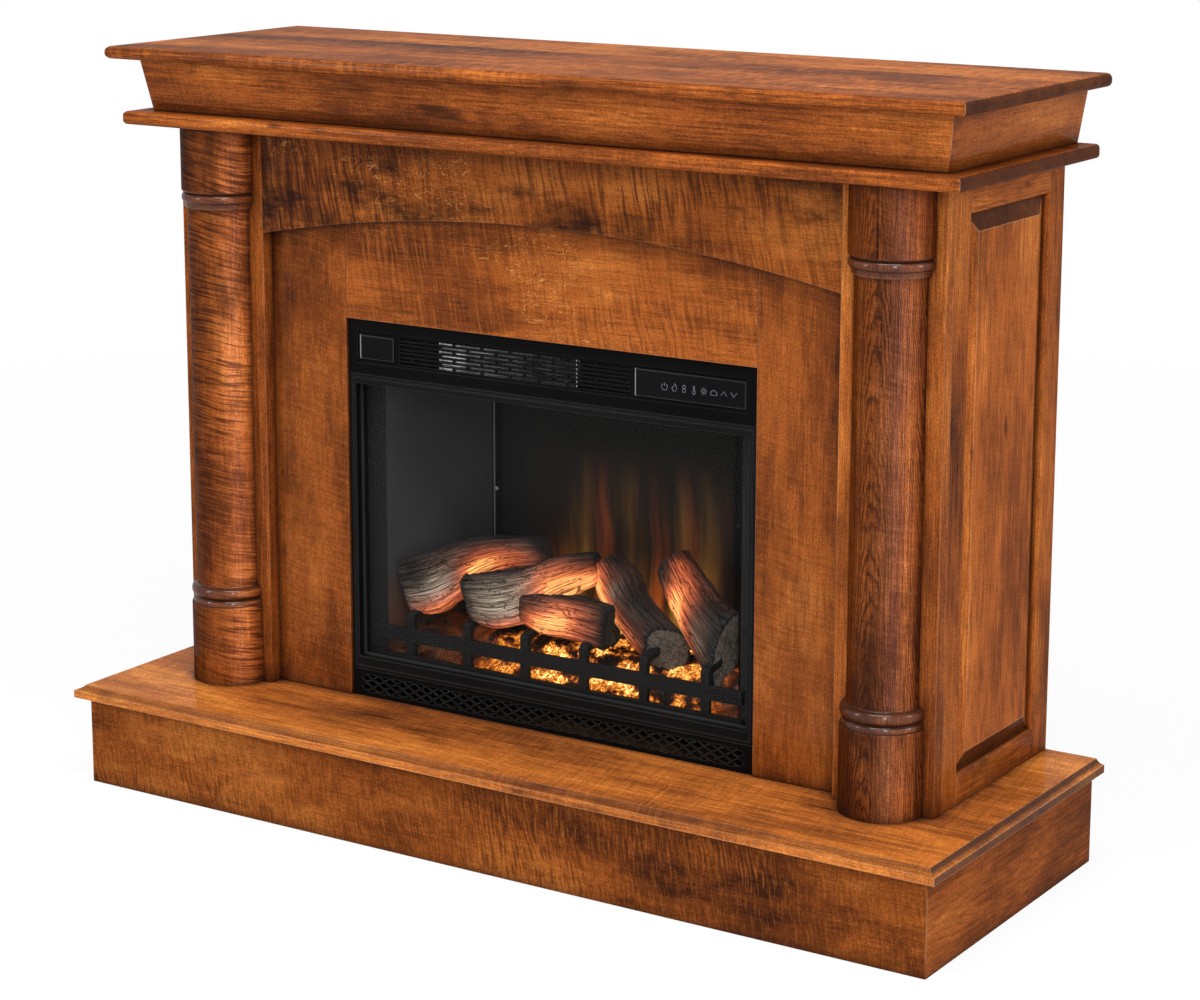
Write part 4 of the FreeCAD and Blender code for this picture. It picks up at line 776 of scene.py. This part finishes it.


# Logs: bent split sections with cracked bark, painted by weights for glow, ash and char, where the char
# weight also paints shade on the sides turned from the room.
# A station is x, depth behind the bezel, height over the hearth and radius, in millimetres. A section
# is its depth as a share of its height, and how square its corners are. The ends give glow, ash and
# char of the two cut ends, and facing is where a leaning log's lower end looks. A mark is its place
# along, its place round (0 faces up, 0.25 faces the room), its spread along and round, and its weight.
LOGS = {
    "log_rear_left": dict(
        stations=[
            (-276, 62, 156, 40), (-225, 68, 172, 43), (-185, 77, 194, 37), (-135, 87, 218, 26),
            (-62, 101, 230, 19),
        ],
        section=(0.80, 4.5),
        ends=((0, 0, 0.9), (0, 0.1, 0.8)),
        ash=[(0.26, 0.30, 0.26, 0.13, 1.0), (0.90, 0.22, 0.08, 0.14, 0.35)],
        glow=[(0.62, 0.31, 0.15, 0.13, 1.0), (0.80, 0.28, 0.22, 0.16, 0.55), (0.28, 0.40, 0.25, 0.08, 0.8)],
        char_and_shade=[
            (0.50, 0.02, 0.90, 0.15, 0.95), (0.14, 0.19, 0.13, 0.13, 0.75),
            (1.00, 0.20, 0.09, 0.50, 0.9), (0.00, 0.20, 0.06, 0.50, 0.9),
        ],
    ),
    "log_front_left": dict(
        stations=[
            (-166, 57, 158, 33), (-117, 63, 160, 40), (-67, 70, 176, 36), (-23, 80, 201, 29),
            (30, 92, 222, 21),
        ],
        section=(0.80, 5.0),
        ends=((0, 0, 1.0), (0.2, 0, 0.7)),
        ash=[(0.30, 0.26, 0.26, 0.22, 1.0), (0.56, 0.22, 0.18, 0.16, 0.7)],
        glow=[(0.68, 0.25, 0.20, 0.20, 0.85), (0.90, 0.34, 0.20, 0.14, 1.0), (0.35, 0.42, 0.25, 0.07, 0.9)],
        char_and_shade=[(0.34, 0.02, 0.50, 0.15, 1.0), (0.00, 0.25, 0.10, 0.60, 1.0), (0.95, 0.00, 0.12, 0.14, 0.9)],
    ),
    "log_small_front": dict(
        stations=[(-71, 52, 160, 18), (-31, 54, 155, 27), (17, 55, 155, 29), (76, 56, 149, 31)],
        section=(0.80, 5.0),
        ends=((0, 0, 0.8), (0, 0.1, 0.9)),
        ash=[(0.50, 0.27, 0.24, 0.16, 0.8)],
        glow=[(0.58, 0.27, 0.27, 0.22, 1.0), (0.28, 0.34, 0.20, 0.14, 0.8)],
        char_and_shade=[(0.50, 0.02, 0.80, 0.09, 1.0), (1.00, 0.25, 0.10, 0.60, 1.0), (0.00, 0.20, 0.05, 0.60, 0.7)],
    ),
    "log_centre": dict(
        stations=[(31, 112, 219, 25), (60, 98, 197, 32), (95, 82, 168, 29), (158, 66, 128, 31)],
        section=(0.95, 2.6),
        ends=((0, 0, 0.8), (0, 0.62, 0.8)),
        facing=Vector((0.66, -0.70, -0.25)),
        ash=[(0.48, 0.18, 0.10, 0.08, 0.5)],
        glow=[(0.45, 0.36, 0.40, 0.14, 1.0), (0.16, 0.25, 0.22, 0.16, 0.75), (0.66, 0.42, 0.30, 0.12, 0.9)],
        char_and_shade=[(0.75, 0.05, 0.35, 0.17, 1.0), (0.12, 0.04, 0.25, 0.12, 0.9), (1.00, 0.20, 0.07, 0.50, 0.8)],
    ),
    "log_right": dict(
        stations=[(134, 118, 238, 24), (164, 104, 211, 29), (205, 88, 174, 35), (250, 76, 142, 44)],
        section=(0.95, 2.6),
        ends=((0, 0, 0.95), (0, 1.0, 0.25)),
        facing=Vector((0.96, 0.04, -0.14)),
        ash=[(0.80, 0.25, 0.15, 0.10, 0.30)],
        glow=[(0.46, 0.24, 0.20, 0.20, 1.0), (0.62, 0.38, 0.25, 0.10, 0.8), (0.20, 0.08, 0.16, 0.10, 0.6)],
        char_and_shade=[(0.00, 0.24, 0.20, 0.20, 1.0), (0.78, 0.05, 0.26, 0.15, 0.9), (0.98, 0.20, 0.12, 0.60, 0.9)],
    ),
}
ROOM_SIDE = Vector((0.50, -0.83, 0.25))
LOG_RINGS = 120
LOG_SIDES = 112
CUT_RINGS = (0.15, 0.35, 0.55, 0.75, 0.90, 0.965)
CUT_EDGE = 0.95
CHARRED_RIM = 0.7
TILT_START = 0.6


def along_stations(stations, share):
    """Place and radius on a smooth line through the stations."""
    spot = share * (len(stations) - 1)
    index = min(int(spot), len(stations) - 2)
    t = spot - index

    def knot(i):
        x, depth, height, radius = stations[max(0, min(len(stations) - 1, i))]
        return Vector((x / 1000, BEZEL_Y + depth / 1000, HEARTH_Z + height / 1000, radius / 1000))

    a, b, c, d = (knot(index + i) for i in (-1, 0, 1, 2))
    second, third = 2 * a - 5 * b + 4 * c - d, 3 * b - a - 3 * c + d
    spot_on_line = (2 * b + (c - a) * t + second * t ** 2 + third * t ** 3) * 0.5
    return spot_on_line.xyz, spot_on_line.w


def in_firebox(point):
    """Keeps a point behind the grate and between the slanted walls."""
    y = max(point.y, GRATE_REAR_Y + 0.002)
    limit = wall_x(y) - WALL_GAP
    return Vector((max(-limit, min(limit, point.x)), y, point.z))


def log_weights(log, share, turn, away):
    """Glow, ash and char of a spot on the bark; sides turned from the room get painted shade in the char
    weight.
    """
    weights = []
    for channel in ("glow", "ash", "char_and_shade"):
        total = 0.0
        for place, round_place, spread, round_spread, weight in log[channel]:
            off = (share - place) / spread
            round_off = abs((turn - round_place + 0.5) % 1.0 - 0.5) / round_spread
            total += weight * math.exp(-(off ** 2 + round_off ** 2) * 1.2)
        weights.append(total)
    # Painted shade on the sides turned from the room, carried in the char weight
    turned = (0.30 - away.dot(ROOM_SIDE)) / 0.45
    weights[2] += 0.9 * max(0.0, min(1.0, turned))
    return [min(1.0, weight) for weight in weights]


def log_piece(name, seed, material):
    log = LOGS[name]
    stations = log["stations"]
    squash, square = log["section"]
    facing = log.get("facing")
    start, _ = along_stations(stations, 0.0)
    end, _ = along_stations(stations, 1.0)
    length = (end - start).length
    axis = (end - start) / length
    across = axis.cross(Vector((0, 0, 1))).normalized()
    upward = across.cross(axis).normalized()
    if across.y > 0:
        across = -across
    shift = Vector((seed * 3.7, seed * 1.9, seed * 2.3))
    bm = bmesh.new()
    paint_layer = bm.verts.layers.float_color.new("paint")
    run_layer = bm.verts.layers.float_vector.new("run")
    cut_layer = bm.verts.layers.float.new("cut")

    def bark_spot(share, angle, shrink):
        """A point on the bark or the cut end, its direction and the depth of its crack."""
        centre, radius = along_stations(stations, share)
        up, out = math.cos(angle), math.sin(angle)
        away = upward * up + across * out

        def spot(steps, turns, bend=0.0):
            return Vector((share * length * steps, up * turns + bend, out * turns + bend)) + shift

        box = (abs(up) ** square + abs(out / squash) ** square) ** (-1 / square)
        lump = noise.fractal(spot(16, 1.2), 1.0, 2.0, 4)
        chip = noise.noise(spot(120, 9))
        cells, _ = noise.voronoi(spot(11, 3.6, 0.5 * noise.noise(spot(40, 2))))
        crack = max(0.0, 1.0 - (cells[1] - cells[0]) / 0.06)
        ripple = noise.noise(spot(14, 8))
        wear = 1.0 if facing else 1 - 0.16 * max(0.0, abs(2 * share - 1) - 0.92) / 0.08
        rough = 1 + 0.08 * lump - 0.05 * crack * shrink + 0.03 * ripple + 0.02 * chip
        point = centre + away * (radius * shrink * box * wear * rough)
        if facing and share > TILT_START:
            tilt = ((share - TILT_START) / (1 - TILT_START)) ** 2
            point -= axis * (tilt * (point - centre).dot(facing) / axis.dot(facing))
        return point, away, crack

    def ring(share, shrink=1.0):
        row = []
        for side in range(LOG_SIDES):
            turn = side / LOG_SIDES
            angle = 2 * math.pi * turn
            point, away, crack = bark_spot(share, angle, shrink)
            weights = log_weights(log, share, turn, away)
            if shrink < CUT_EDGE:
                glow, ash, char_and_shade = log["ends"][round(share)]
                weights = (glow, ash, 1.0 if shrink > CHARRED_RIM else char_and_shade)
                hollow = 0.0025 * noise.noise(point * 190) - 0.002 * (1 - shrink)
                point += axis * (hollow if share else -hollow)
                crack *= 0.3
            vert = bm.verts.new(in_firebox(point))
            vert[paint_layer] = (*weights, crack)
            vert[cut_layer] = float(shrink < CUT_EDGE)
            vert[run_layer] = Vector((share * length * 3, math.cos(angle) * shrink, math.sin(angle) * shrink))
            row.append(vert)
        return row

    rows = [ring(0.0, shrink) for shrink in CUT_RINGS]
    rows += [ring(index / LOG_RINGS) for index in range(LOG_RINGS + 1)]
    rows += [ring(1.0, shrink) for shrink in reversed(CUT_RINGS)]
    loft(bm, rows)
    piece = mesh_piece(f"{name}_bark", bm, material)
    smooth_by_angle(piece, 42)
    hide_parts(name)


# Ember bed: a mound of chips inside the solid's outline
EMBER_COLUMNS = 210
EMBER_ROWS = 56


def ember_piece(material):
    low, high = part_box("ember_bed")
    front, rear = low.y, high.y
    profile = [(front, 0.022), (BEZEL_Y + 0.078, 0.060), (BEZEL_Y + 0.120, 0.070), (rear, 0.070)]

    def crest(y):
        for (ya, za), (yb, zb) in zip(profile, profile[1:]):
            if y <= yb:
                return za + (zb - za) * (y - ya) / (yb - ya)
        return profile[-1][1]

    bm = bmesh.new()
    rows = []
    for row_index in range(EMBER_ROWS + 1):
        y = front + (rear - front) * row_index / EMBER_ROWS
        half = wall_x(y) - WALL_GAP
        row = []
        for index in range(EMBER_COLUMNS + 1):
            x = half * (2 * index / EMBER_COLUMNS - 1)
            cells, _ = noise.voronoi(Vector((x * 62, y * 62, 3.0)))
            chip = (cells[1] - cells[0]) * 0.006 + 0.004 * noise.noise(Vector((x * 30, y * 30, 7.0)))
            row.append(bm.verts.new((x, y, FLOOR_Z + crest(y) + chip - 0.003)))
        rows.append(row)
    for near, far in zip(rows, rows[1:]):
        fill_between(bm, near, far, closed=False)
    rim = rows[0] + [row[-1] for row in rows[1:]]
    rim += list(reversed(rows[-1]))[1:] + [row[0] for row in reversed(rows[1:-1])]
    feet = [bm.verts.new((vert.co.x, vert.co.y, FLOOR_Z)) for vert in rim]
    fill_between(bm, rim, feet)
    bm.faces.new(feet)
    piece = mesh_piece("ember_chips", bm, material)
    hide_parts("ember_bed")


def dress_fire():
    bark = log_material("painted bark")
    for seed, name in enumerate(LOGS, start=1):
        log_piece(name, seed, bark)
    ember_piece(ember_material("amber embers"))


# Generic touch symbols on the control panel
ICON_SIZE = 0.0050
ICON_STROKE = 0.00032
ICON_COUNT = 8


def arc(x, z, radius, start, end, steps=14):
    angles = [math.radians(start + (end - start) * step / steps) for step in range(steps + 1)]
    return [(x + radius * math.cos(angle), z + radius * math.sin(angle)) for angle in angles]


def icon_piece(material):
    low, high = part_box("control_panel")
    curve = bpy.data.curves.new("control_icons", "CURVE")
    curve.dimensions = "3D"
    curve.bevel_depth = ICON_STROKE
    curve.use_fill_caps = True
    curve.bevel_resolution = 1
    first, last = high.x - 0.123, high.x - 0.017
    centre_z = (low.z + high.z) / 2 - 0.001

    def stroke(slot, points, closed=False):
        centre_x = first + (last - first) * slot / (ICON_COUNT - 1)
        line = curve.splines.new("POLY")
        line.points.add(len(points) - 1)
        for point, (x, z) in zip(line.points, points):
            point.co = (centre_x + x * ICON_SIZE, low.y, centre_z + z * ICON_SIZE, 1.0)
        line.use_cyclic_u = closed

    # Power
    stroke(0, arc(0, -0.1, 0.9, 125, 415))
    stroke(0, [(0, 1.0), (0, 0.1)])
    # Flame
    tip = [(0, 1.2), (0.55, 0.4), (0.75, -0.3), (0.35, -0.95)]
    stroke(1, tip + [(-0.35, -0.95), (-0.75, -0.3), (-0.4, 0.25), (-0.15, 0.1)], True)
    # Two rings
    stroke(2, arc(0, 0.5, 0.45, 0, 360), True)
    stroke(2, arc(0, -0.5, 0.5, 0, 360), True)
    # Thermometer
    stroke(3, [(-0.2, -0.3), (-0.2, 1.0), (0.2, 1.0), (0.2, -0.3)])
    stroke(3, arc(0, -0.7, 0.45, 65, -245))
    # Sun
    stroke(4, arc(0, 0, 0.45, 0, 360), True)
    for ray in range(8):
        angle = math.radians(45 * ray)
        stroke(4, [(reach * math.cos(angle), reach * math.sin(angle)) for reach in (0.7, 1.05)])
    # Dome, up and down
    stroke(5, arc(0, -0.4, 0.95, 0, 180) + [(-0.95, -0.75), (0.95, -0.75)], True)
    stroke(6, [(-0.9, -0.6), (0, 0.6), (0.9, -0.6)])
    stroke(7, [(-0.9, 0.6), (0, -0.6), (0.9, 0.6)])
    curve.materials.append(material)
    piece = add_object("control_icons", curve)
    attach(piece, ROOT)


# Thin trims round the receiver window and the control panel; the left ones are painted light as highlights
TRIM_BACK_Y = BEZEL_Y + 0.0024
TRIM_FRONT_Y = BEZEL_Y + 0.0002


def trim_bars(name, node, sides, width, material):
    low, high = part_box(node)
    spans = {
        "left": (low.x - width, low.x, low.z - width, high.z + width),
        "right": (high.x, high.x + width, low.z - width, high.z + width),
        "bottom": (low.x, high.x, low.z - width, low.z),
        "top": (low.x, high.x, high.z, high.z + width),
    }
    bm = bmesh.new()
    for side in sides:
        rows = []
        for y, inset in ((TRIM_BACK_Y, 0.0), (TRIM_FRONT_Y, width * 0.3)):
            x0, x1, z0, z1 = spans[side]
            x0, x1, z0, z1 = x0 + inset, x1 - inset, z0 + inset, z1 - inset
            rows.append([bm.verts.new((x, y, z)) for x, z in ((x0, z0), (x1, z0), (x1, z1), (x0, z1))])
        loft(bm, rows)
    mesh_piece(name, bm, material)


# Straight runs of a closed section: liner edges, guard wires, baffles, bead and gasket
def run_piece(name, runs, material):
    """Runs sections along X, where their points are (y, z), or along Z, where they are (x, y)."""
    bm = bmesh.new()
    for section, axis, start, end in runs:
        rows = []
        for spot in (start, end):
            places = [(spot, a, b) if axis == "X" else (a, b, spot) for a, b in section]
            rows.append([bm.verts.new(place) for place in places])
        loft(bm, rows)
    mesh_piece(name, bm, material)


def oval(a, b, reach_a, reach_b, sides):
    angles = [2 * math.pi * (side + 0.5) / sides for side in range(sides)]
    return [(a + reach_a * math.cos(angle), b + reach_b * math.sin(angle)) for angle in angles]


def liner_edge(name, side, material):
    """Sheared edge of a liner flange, beside the flame screen."""
    bottom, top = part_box("flame_screen")[0].z + 0.004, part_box("firebox_ceiling")[0].z - 0.002
    near, far = side * (WALL_REAR_X - 0.0012), side * (WALL_REAR_X - 0.0026)
    front, rear = WALL_REAR_Y - 0.0016, WALL_REAR_Y
    section = [(near, front), (far, front), (far, rear), (near, rear)]
    run_piece(name, [(section, "Z", bottom, top)], material)


def outlet_guard(material):
    """Woven guard in the mouth of the heater duct, seen through the outlet slots."""
    low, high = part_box("heater_duct")
    bezel_low, bezel_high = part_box("upper_bezel")
    level_steps, upright_steps = 16, 28
    y = low.y - 0.0005
    left, right = low.x + 0.002, high.x - 0.002
    bottom, top = bezel_low.z + 0.016, bezel_high.z - 0.016
    runs = []
    for index in range(level_steps + 1):
        z = bottom + (top - bottom) * index / level_steps
        runs.append((oval(y, z, 0.0003, 0.0009, 6), "X", left, right))
    for index in range(upright_steps + 1):
        x = left + (right - left) * index / upright_steps
        runs.append((oval(x, y, 0.0008, 0.00025, 6), "Z", bottom, top))
    run_piece("outlet_guard", runs, material)


def outlet_baffles(material):
    """Folded plates beside the duct that close the view through the end slots."""
    low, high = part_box("heater_duct")
    board_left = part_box("control_board")[0].x
    left_end, duct_gap, board_gap = -0.300, 0.0012, 0.003
    y, z0, z1, sheet, lip = BEZEL_Y + 0.011, HEARTH_Z + 0.481, HEARTH_Z + 0.544, 0.0008, 0.004
    section = [
        (y, z0), (y, z1), (y + lip, z1), (y + lip, z1 - sheet),
        (y + sheet, z1 - sheet), (y + sheet, z0 + sheet), (y + lip, z0 + sheet), (y + lip, z0),
    ]
    spans = ((left_end, low.x - duct_gap), (high.x + duct_gap, board_left - board_gap))
    run_piece("outlet_baffles", [(section, "X", *span) for span in spans], material)


def glass_bead(material):
    """Retaining bead round the glass, in the corner of its frame, painted a lighter grey than the frame as
    the highlight on its inner edge.
    """
    low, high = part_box("glass_frame")
    side_rail, bottom_rail, top_rail, width, slope = 0.010, 0.018, 0.014, 0.003, 0.7
    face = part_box("glass_pane")[0].y
    lead = face - width
    left, right = low.x + side_rail, high.x - side_rail
    bottom, top = low.z + bottom_rail, high.z - top_rail
    runs = []
    for x, wide in ((left, width), (right, -width)):
        section = [(x, face), (x + wide, face), (x + wide * slope, lead), (x, lead)]
        runs.append((section, "Z", bottom, top))
    for z, tall in ((bottom, width), (top, -width)):
        section = [(face, z), (face, z + tall), (lead, z + tall * slope), (lead, z)]
        runs.append((section, "X", left, right))
    run_piece("glass_bead", runs, material)


def opening_gasket(material):
    """Black foam bead that closes the gap between the insert and the wood opening and stands in for the shade
    in it.
    """
    low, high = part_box("upper_bezel")
    side = (high.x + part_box("right_leg_field")[0].x) / 2
    top = (high.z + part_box("header_field")[0].z) / 2
    y = BEZEL_Y + 0.008
    runs = [(oval(x, y, 0.00104, 0.005, 8), "Z", HEARTH_Z + 0.0005, high.z) for x in (-side, side)]
    runs.append((oval(y, top, 0.005, 0.00052, 8), "X", low.x, high.x))
    run_piece("opening_gasket", runs, material)


# Screw heads, shown only here
SCREW_PROFILE = [(1.0, 0.0), (1.0, 0.30), (0.86, 0.52), (0.52, 0.60), (0.46, 0.30)]
SCREW_STEPS = 18
FLANGE_SCREW_X = 0.203
FLANGE_SCREW_RADIUS = 0.0028
BACK_SCREW_RADIUS = 0.0035
BACK_SCREW_INSET = 0.008
BACK_SCREW_SHARES = (0.03, 0.27, 0.5, 0.73, 0.97)


def screw_heads(name, places, normal, radius, material):
    """Heads with a sunk middle, from pairs of reach and rise in radii."""
    side = normal.orthogonal().normalized()
    other = normal.cross(side)
    bm = bmesh.new()
    for place in places:
        rows = []
        for reach, rise in SCREW_PROFILE:
            row = []
            for step in range(SCREW_STEPS):
                angle = 2 * math.pi * step / SCREW_STEPS
                away = side * math.cos(angle) + other * math.sin(angle)
                row.append(bm.verts.new(place + away * radius * reach + normal * radius * rise))
            rows.append(row)
        loft(bm, rows)
    mesh_piece(name, bm, material)


def add_screws():
    steel = paint("screw steel", (0.42, 0.42, 0.43), 0.3, 200.0, 0.05, metallic=1.0)
    dark_head = paint("dark screw head", 0.012, 0.5, 200.0, 0.05)
    forward = Vector((0, -1, 0))
    # The left flange screw is bare steel, the right one dark
    for side, x, finish in (("left", -FLANGE_SCREW_X, steel), ("right", FLANGE_SCREW_X, dark_head)):
        place = Vector((x, WALL_REAR_Y - 0.0002, FLOOR_Z + 0.245))
        screw_heads(f"{side}_flange_screw", [place], forward, FLANGE_SCREW_RADIUS, finish)
    low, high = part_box("casing_back_panel")
    back = []
    for share in BACK_SCREW_SHARES:
        for z in (low.z + BACK_SCREW_INSET, high.z - BACK_SCREW_INSET):
            back.append(Vector((low.x + (high.x - low.x) * share, high.y, z)))
    screw_heads("back_panel_screws", back, -forward, BACK_SCREW_RADIUS, steel)


# Each coat: its nodes, its colour or grey, its roughness, and what differs from plain paint
METAL = dict(relief=0.05, metallic=1.0)
COATS = {
    "satin black": (
        ["upper_bezel"], (0.0022, 0.0022, 0.0025), 0.34, dict(specular=0.03, arris_highlight=(0.09, 0.09, 0.095)),
    ),
    "frame black": (
        ["glass_frame"], (0.0045, 0.0045, 0.0048), 0.34, dict(specular=0.05, arris_highlight=(0.17, 0.17, 0.18)),
    ),
    "lattice black": (
        ["lower_grille"], 0.003, 0.40, dict(specular=0.03, arris_highlight=(0.20, 0.19, 0.17), arris_width=0.0006),
    ),
    "powder coat": (
        ["insert_casing", "casing_back_panel"], (0.006, 0.006, 0.0065), 0.55, dict(specular=0.08),
    ),
    "zinc plate": (
        ["mounting_brackets", "rotor_brackets", "heater_duct", "heater_element"],
        (0.62, 0.63, 0.64), 0.30, dict(METAL, texture=300.0),
    ),
    "moulded black": (["cord_gland"], 0.010, 0.5, {}),
    "gloss black": (
        ["receiver_window", "control_panel"], (0.003, 0.003, 0.0035), 0.14,
        dict(texture=40.0, relief=0.0, specular=0.05, arris_highlight=(0.20, 0.20, 0.21)),
    ),
    "solder mask": (
        ["control_board", "ember_light_board", "flame_light_board"], (0.012, 0.07, 0.028), 0.4, {},
    ),
    "cast black": (["grate"], 0.007, 0.62, dict(texture=420.0, relief=0.5, specular=0.08)),
    "bright foil": (["flame_rotor", "blower_wheel"], (0.78, 0.78, 0.79), 0.22, dict(METAL, texture=200.0)),
    "motor steel": (
        ["rotor_motor", "blower_motor"], (0.30, 0.30, 0.31), 0.45, dict(METAL, texture=500.0, relief=0.1),
    ),
}
LINER = ["firebox_floor", "firebox_left_wall", "firebox_right_wall", "firebox_ceiling"]
EASED = ["upper_bezel", "glass_frame", "grate", "control_panel", "receiver_window"]
SHEET_ARRIS = 0.0006
LIT_TRIM_WIDTH = 0.0012
DULL_TRIM_WIDTH = 0.0006


def dress_insert():
    for name, (coated, colour, roughness, more) in COATS.items():
        dress(coated, paint(name, colour, roughness, **more))
    dress(["glass_pane"], clear_glass("clear glass"))
    dress(LINER, liner("liner"))
    dress(["flame_screen"], flame_screen("smoked screen"))
    soften(EASED, SHEET_ARRIS)
    outlet_guard(guard_metal("guard wire"))
    foam = paint("black foam", 0.006, 0.85, 700.0, 0.5, specular=0.05)
    outlet_baffles(foam)
    # The bead's lighter grey is a painted highlight on the frame's inner edge
    glass_bead(paint("bead painted lit", (0.022, 0.022, 0.023), 0.45, specular=0.05))
    # The black gasket stands in for the shade in the gap round the insert
    opening_gasket(foam)
    lit_trim = paint("trim painted lit", (0.26, 0.26, 0.27), 0.35, 300.0, 0.05, specular=0.3)
    dull_trim = paint("dull trim", (0.045, 0.045, 0.047), 0.35, 300.0, 0.05)
    for name, node in (("window", "receiver_window"), ("panel", "control_panel")):
        # The left trim is painted light as a highlight
        trim_bars(f"{name}_left_trim", node, ("left",), LIT_TRIM_WIDTH, lit_trim)
        trim_bars(f"{name}_trim", node, ("right", "bottom", "top"), DULL_TRIM_WIDTH, dull_trim)
    # The left flange edge is painted light grey as a highlight, the right one near black as shade
    liner_edge("left_liner_edge", -1, paint("edge painted lit", (0.16, 0.16, 0.165), 0.4, 300.0, 0.05))
    liner_edge("right_liner_edge", 1, paint("shaded edge", 0.008, 0.5, 300.0, 0.05))
    icon_piece(icon_material("icon print"))
    add_screws()


# Studio: pale floor, even light from the world and four soft lamps
FLOOR_HALF_SIZE = 40.0
FLOOR_STEPS = 8
FLOOR_DROP = 0.0005


def floor_material():
    """Pale floor that the camera sees fade to white away from the part."""
    g = Graph("pale floor")
    shade = g.ramp(g.noise(g.place(), 30.0, 2.0), [(0.3, 0.90), (0.7, 0.93)])
    g.surface(Base_Color=shade, Roughness=0.9, Specular_IOR_Level=0.0)
    white = g.node("Emission", {"Color": (1, 1, 1, 1), "Strength": 1.0})
    away = g.node("VectorMath", {0: g.place()}, operation="LENGTH").outputs["Value"]
    fade = {"Value": away, "From Min": 1.2, "From Max": 4.0, "To Min": 0.90, "To Max": 1.0}
    weight = g.times(g.seen_directly(), g.node("MapRange", fade).outputs[0])
    both = g.node("MixShader", {0: weight, 1: g.shader.outputs[0], 2: white.outputs[0]})
    g.put(g.tree.nodes["Material Output"].inputs[0], both.outputs[0])
    return g.owner


def build_floor():
    bm = bmesh.new()
    bmesh.ops.create_grid(bm, x_segments=FLOOR_STEPS, y_segments=FLOOR_STEPS, size=FLOOR_HALF_SIZE)
    floor = add_mesh("floor", bm, floor_material())
    floor.location.z = -FLOOR_DROP


def build_world():
    """White to the eye and in reflections, half as bright as a light."""
    g = Graph("studio", "worlds", "Background")
    level = g.node("MapRange", {"To Min": 0.50, "To Max": 1.0, "Value": g.seen_directly()})
    bpy.context.scene.world = g.surface(Color=(1, 1, 1, 1), Strength=level.outputs[0])


def lamp(name, place, target, width, height, power):
    data = bpy.data.lights.new(name, "AREA")
    data.shape = "RECTANGLE"
    data.size = width
    data.size_y = height
    data.energy = power
    made = add_object(name, data)
    made.location = place
    made.rotation_euler = (Vector(target) - Vector(place)).to_track_quat("-Z", "Y").to_euler()


def build_lamps():
    lamp("key", (2.3, -3.0, 1.9), (0, 0, 0.55), 0.4, 1.8, 46)
    lamp("fill", (-2.4, -2.8, 1.9), (0, 0, 0.55), 0.4, 1.8, 32)
    lamp("side", (3.6, 0.4, 1.6), (0.4, 0, 0.6), 0.5, 1.6, 24)
    lamp("top", (0.7, -1.3, 3.3), (0.2, -0.1, 0.2), 2.2, 0.9, 88)


def build_camera():
    data = bpy.data.cameras.new("camera")
    data.sensor_fit = "HORIZONTAL"
    data.sensor_width = SENSOR_WIDTH
    data.lens = CAMERA_LENS
    data.shift_y = CAMERA_SHIFT_Y
    data.clip_end = VIEW_REACH
    camera = add_object("camera", data)
    heading = Matrix.Rotation(CAMERA_YAW, 4, "Z")
    tilt = Matrix.Rotation(math.pi / 2 + CAMERA_PITCH, 4, "X")
    roll = Matrix.Rotation(CAMERA_ROLL, 4, "Z")
    camera.matrix_world = Matrix.Translation(CAMERA_PLACE) @ heading @ tilt @ roll
    bpy.context.scene.camera = camera


dress_wood()
dress_columns()
dress_insert()
dress_fire()
build_floor()
build_world()
build_lamps()
build_camera()
bpy.context.scene.view_settings.view_transform = "Standard"
